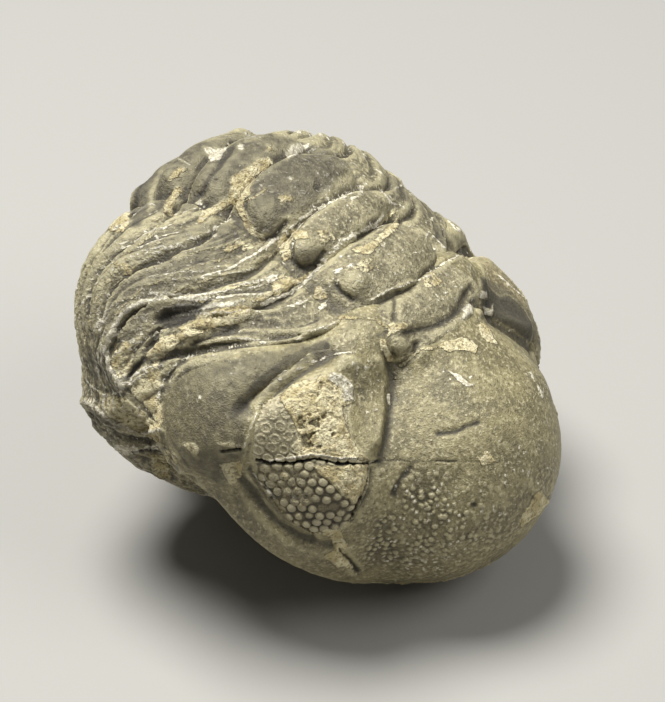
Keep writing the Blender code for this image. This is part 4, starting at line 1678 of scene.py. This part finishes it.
# %% [markdown]
# ### One recipe for three finishes
#
# The head's shell is olive and smooth, the ribs are greyer and more fibrous, and the lenses are
# paler. The recipe is the same for all, with other colours for the bare shell and another strength
# of relief. Calcite bends light strongly, at 1.49 to 1.66, and worn limestone lies in between.

# %% Mix the stone
STONE_IOR = 1.55
BUMP_STRENGTH = 0.9
BUMP_MM = 0.4


def fossil_stone(name, dark_shell, light_shell, pale_shell, grain_relief):
    """Limestone shell with mudstone, calcite and dirt; the colours are those of the bare shell."""
    material = bpy.data.materials.new(name)
    material.use_nodes = True
    tree = material.node_tree
    place = add_node(tree, "ShaderNodeTexCoord", {}).outputs["Object"]
    amount = {"grain_relief": grain_relief}
    for mask in MASKS:
        amount[mask] = add_node(tree, "ShaderNodeAttribute", {}, attribute_name=mask).outputs["Fac"]
    for grain, size_mm, detail in GRAIN_SIZES:
        sockets = {"Vector": place, "Scale": per_metre(size_mm), "Detail": detail,
                   "Roughness": GRAIN_ROUGHNESS}
        amount[grain] = add_node(tree, "ShaderNodeTexNoise", sockets).outputs["Fac"]
    for result, operation, source, *numbers in AMOUNTS:
        if operation == "RANGE":
            low, high, most = numbers
            sockets = {"Value": amount[source], "From Min": low, "From Max": high, "To Max": most}
            node = add_node(tree, "ShaderNodeMapRange", sockets, interpolation_type="SMOOTHSTEP")
        else:
            sockets = {0: amount[source], 1: amount.get(numbers[0], numbers[0])}
            node = add_node(tree, "ShaderNodeMath", sockets, operation=operation)
        amount[result] = node.outputs[0]
    colour = {"dark_shell": linear(dark_shell), "light_shell": linear(light_shell)}
    colour["pale_shell"] = linear(pale_shell)
    for result, below, above, cover in PAINT:
        sockets = {0: amount[cover], 6: colour[below] if below in colour else linear(below),
                   7: colour[above] if above in colour else linear(above)}
        colour[result] = add_node(tree, "ShaderNodeMix", sockets, data_type="RGBA").outputs[2]
    sockets = {"Strength": BUMP_STRENGTH, "Distance": BUMP_MM * MM, "Height": amount["relief"]}
    bumped = add_node(tree, "ShaderNodeBump", sockets)
    shader = tree.nodes["Principled BSDF"]
    shader.inputs["IOR"].default_value = STONE_IOR
    tree.links.new(colour["stone"], shader.inputs["Base Color"])
    tree.links.new(amount["rough"], shader.inputs["Roughness"])
    tree.links.new(bumped.outputs["Normal"], shader.inputs["Normal"])
    return material


head_stone = fossil_stone("olive_limestone_shell", "#6b6345", "#857c58", "#9a916c", 0.35)
body_stone = fossil_stone("grey_limestone_shell", "#625b43", "#7e765a", "#9a9272", 0.8)
lens_stone = fossil_stone("lens_calcite", "#6f6548", "#8d8260", "#a89d78", 0.5)
finishes = ((head, head_stone), (body, body_stone), (right_eye, lens_stone), (left_eye, lens_stone))
for piece, material in finishes:
    piece.data.materials.clear()
    piece.data.materials.append(material)
print("three finishes of stone:", [material.name for material in (head_stone, body_stone, lens_stone)])

# %% [markdown]
# ## Floor and light
#
# A pale paper floor, one large soft lamp high up and a little behind, which throws the furrows into
# relief, and a weak one from the other side to open the shadows.

# %% The floor
PAPER_ROUGHNESS = 0.9


def make_floor():
    mesh = bpy.data.meshes.new("floor")
    bm = bmesh.new()
    bmesh.ops.create_grid(bm, x_segments=1, y_segments=1, size=2.0)
    bm.to_mesh(mesh)
    bm.free()
    floor = bpy.data.objects.new("floor", mesh)
    bpy.context.scene.collection.objects.link(floor)
    material = bpy.data.materials.new("pale_paper")
    material.use_nodes = True
    shader = material.node_tree.nodes["Principled BSDF"]
    shader.inputs["Base Color"].default_value = linear("#96948e")
    shader.inputs["Roughness"].default_value = PAPER_ROUGHNESS
    mesh.materials.append(material)
    return floor


floor = make_floor()
print("the floor is", round(floor.dimensions.x, 1), "m wide")

# %% The lamps and the world
WORLD_STRENGTH = 0.17


def add_light(name, place_mm, size_mm, watts):
    data = bpy.data.lights.new(name, "AREA")
    data.shape = "DISK"
    data.size = size_mm * MM
    data.energy = watts
    light = bpy.data.objects.new(name, data)
    bpy.context.scene.collection.objects.link(light)
    place = Vector(place_mm) * MM
    light.location = place
    light.rotation_euler = (Vector(LOOK_AT) * MM - place).to_track_quat("-Z", "Y").to_euler()
    return light


add_light("key_light", (-105.0, 50.0, 440.0), 240.0, 4.2)
add_light("fill_light", (300.0, -120.0, 350.0), 300.0, 1.0)
world = bpy.data.worlds.new("studio")
world.use_nodes = True
background = world.node_tree.nodes["Background"]
background.inputs["Color"].default_value = linear("#e8ecf0")
background.inputs["Strength"].default_value = WORLD_STRENGTH
bpy.context.scene.world = world
bpy.context.scene.view_settings.view_transform = "Standard"
print("two lamps, and a world of strength", WORLD_STRENGTH)

# %% [markdown]
# ## Hand over
#
# All four pieces lie still on the root body and together replace the plain solid.

# %% Hand over to the frame
for piece in (head, body, right_eye, left_eye):
    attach(piece, "root")
    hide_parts(NODE)
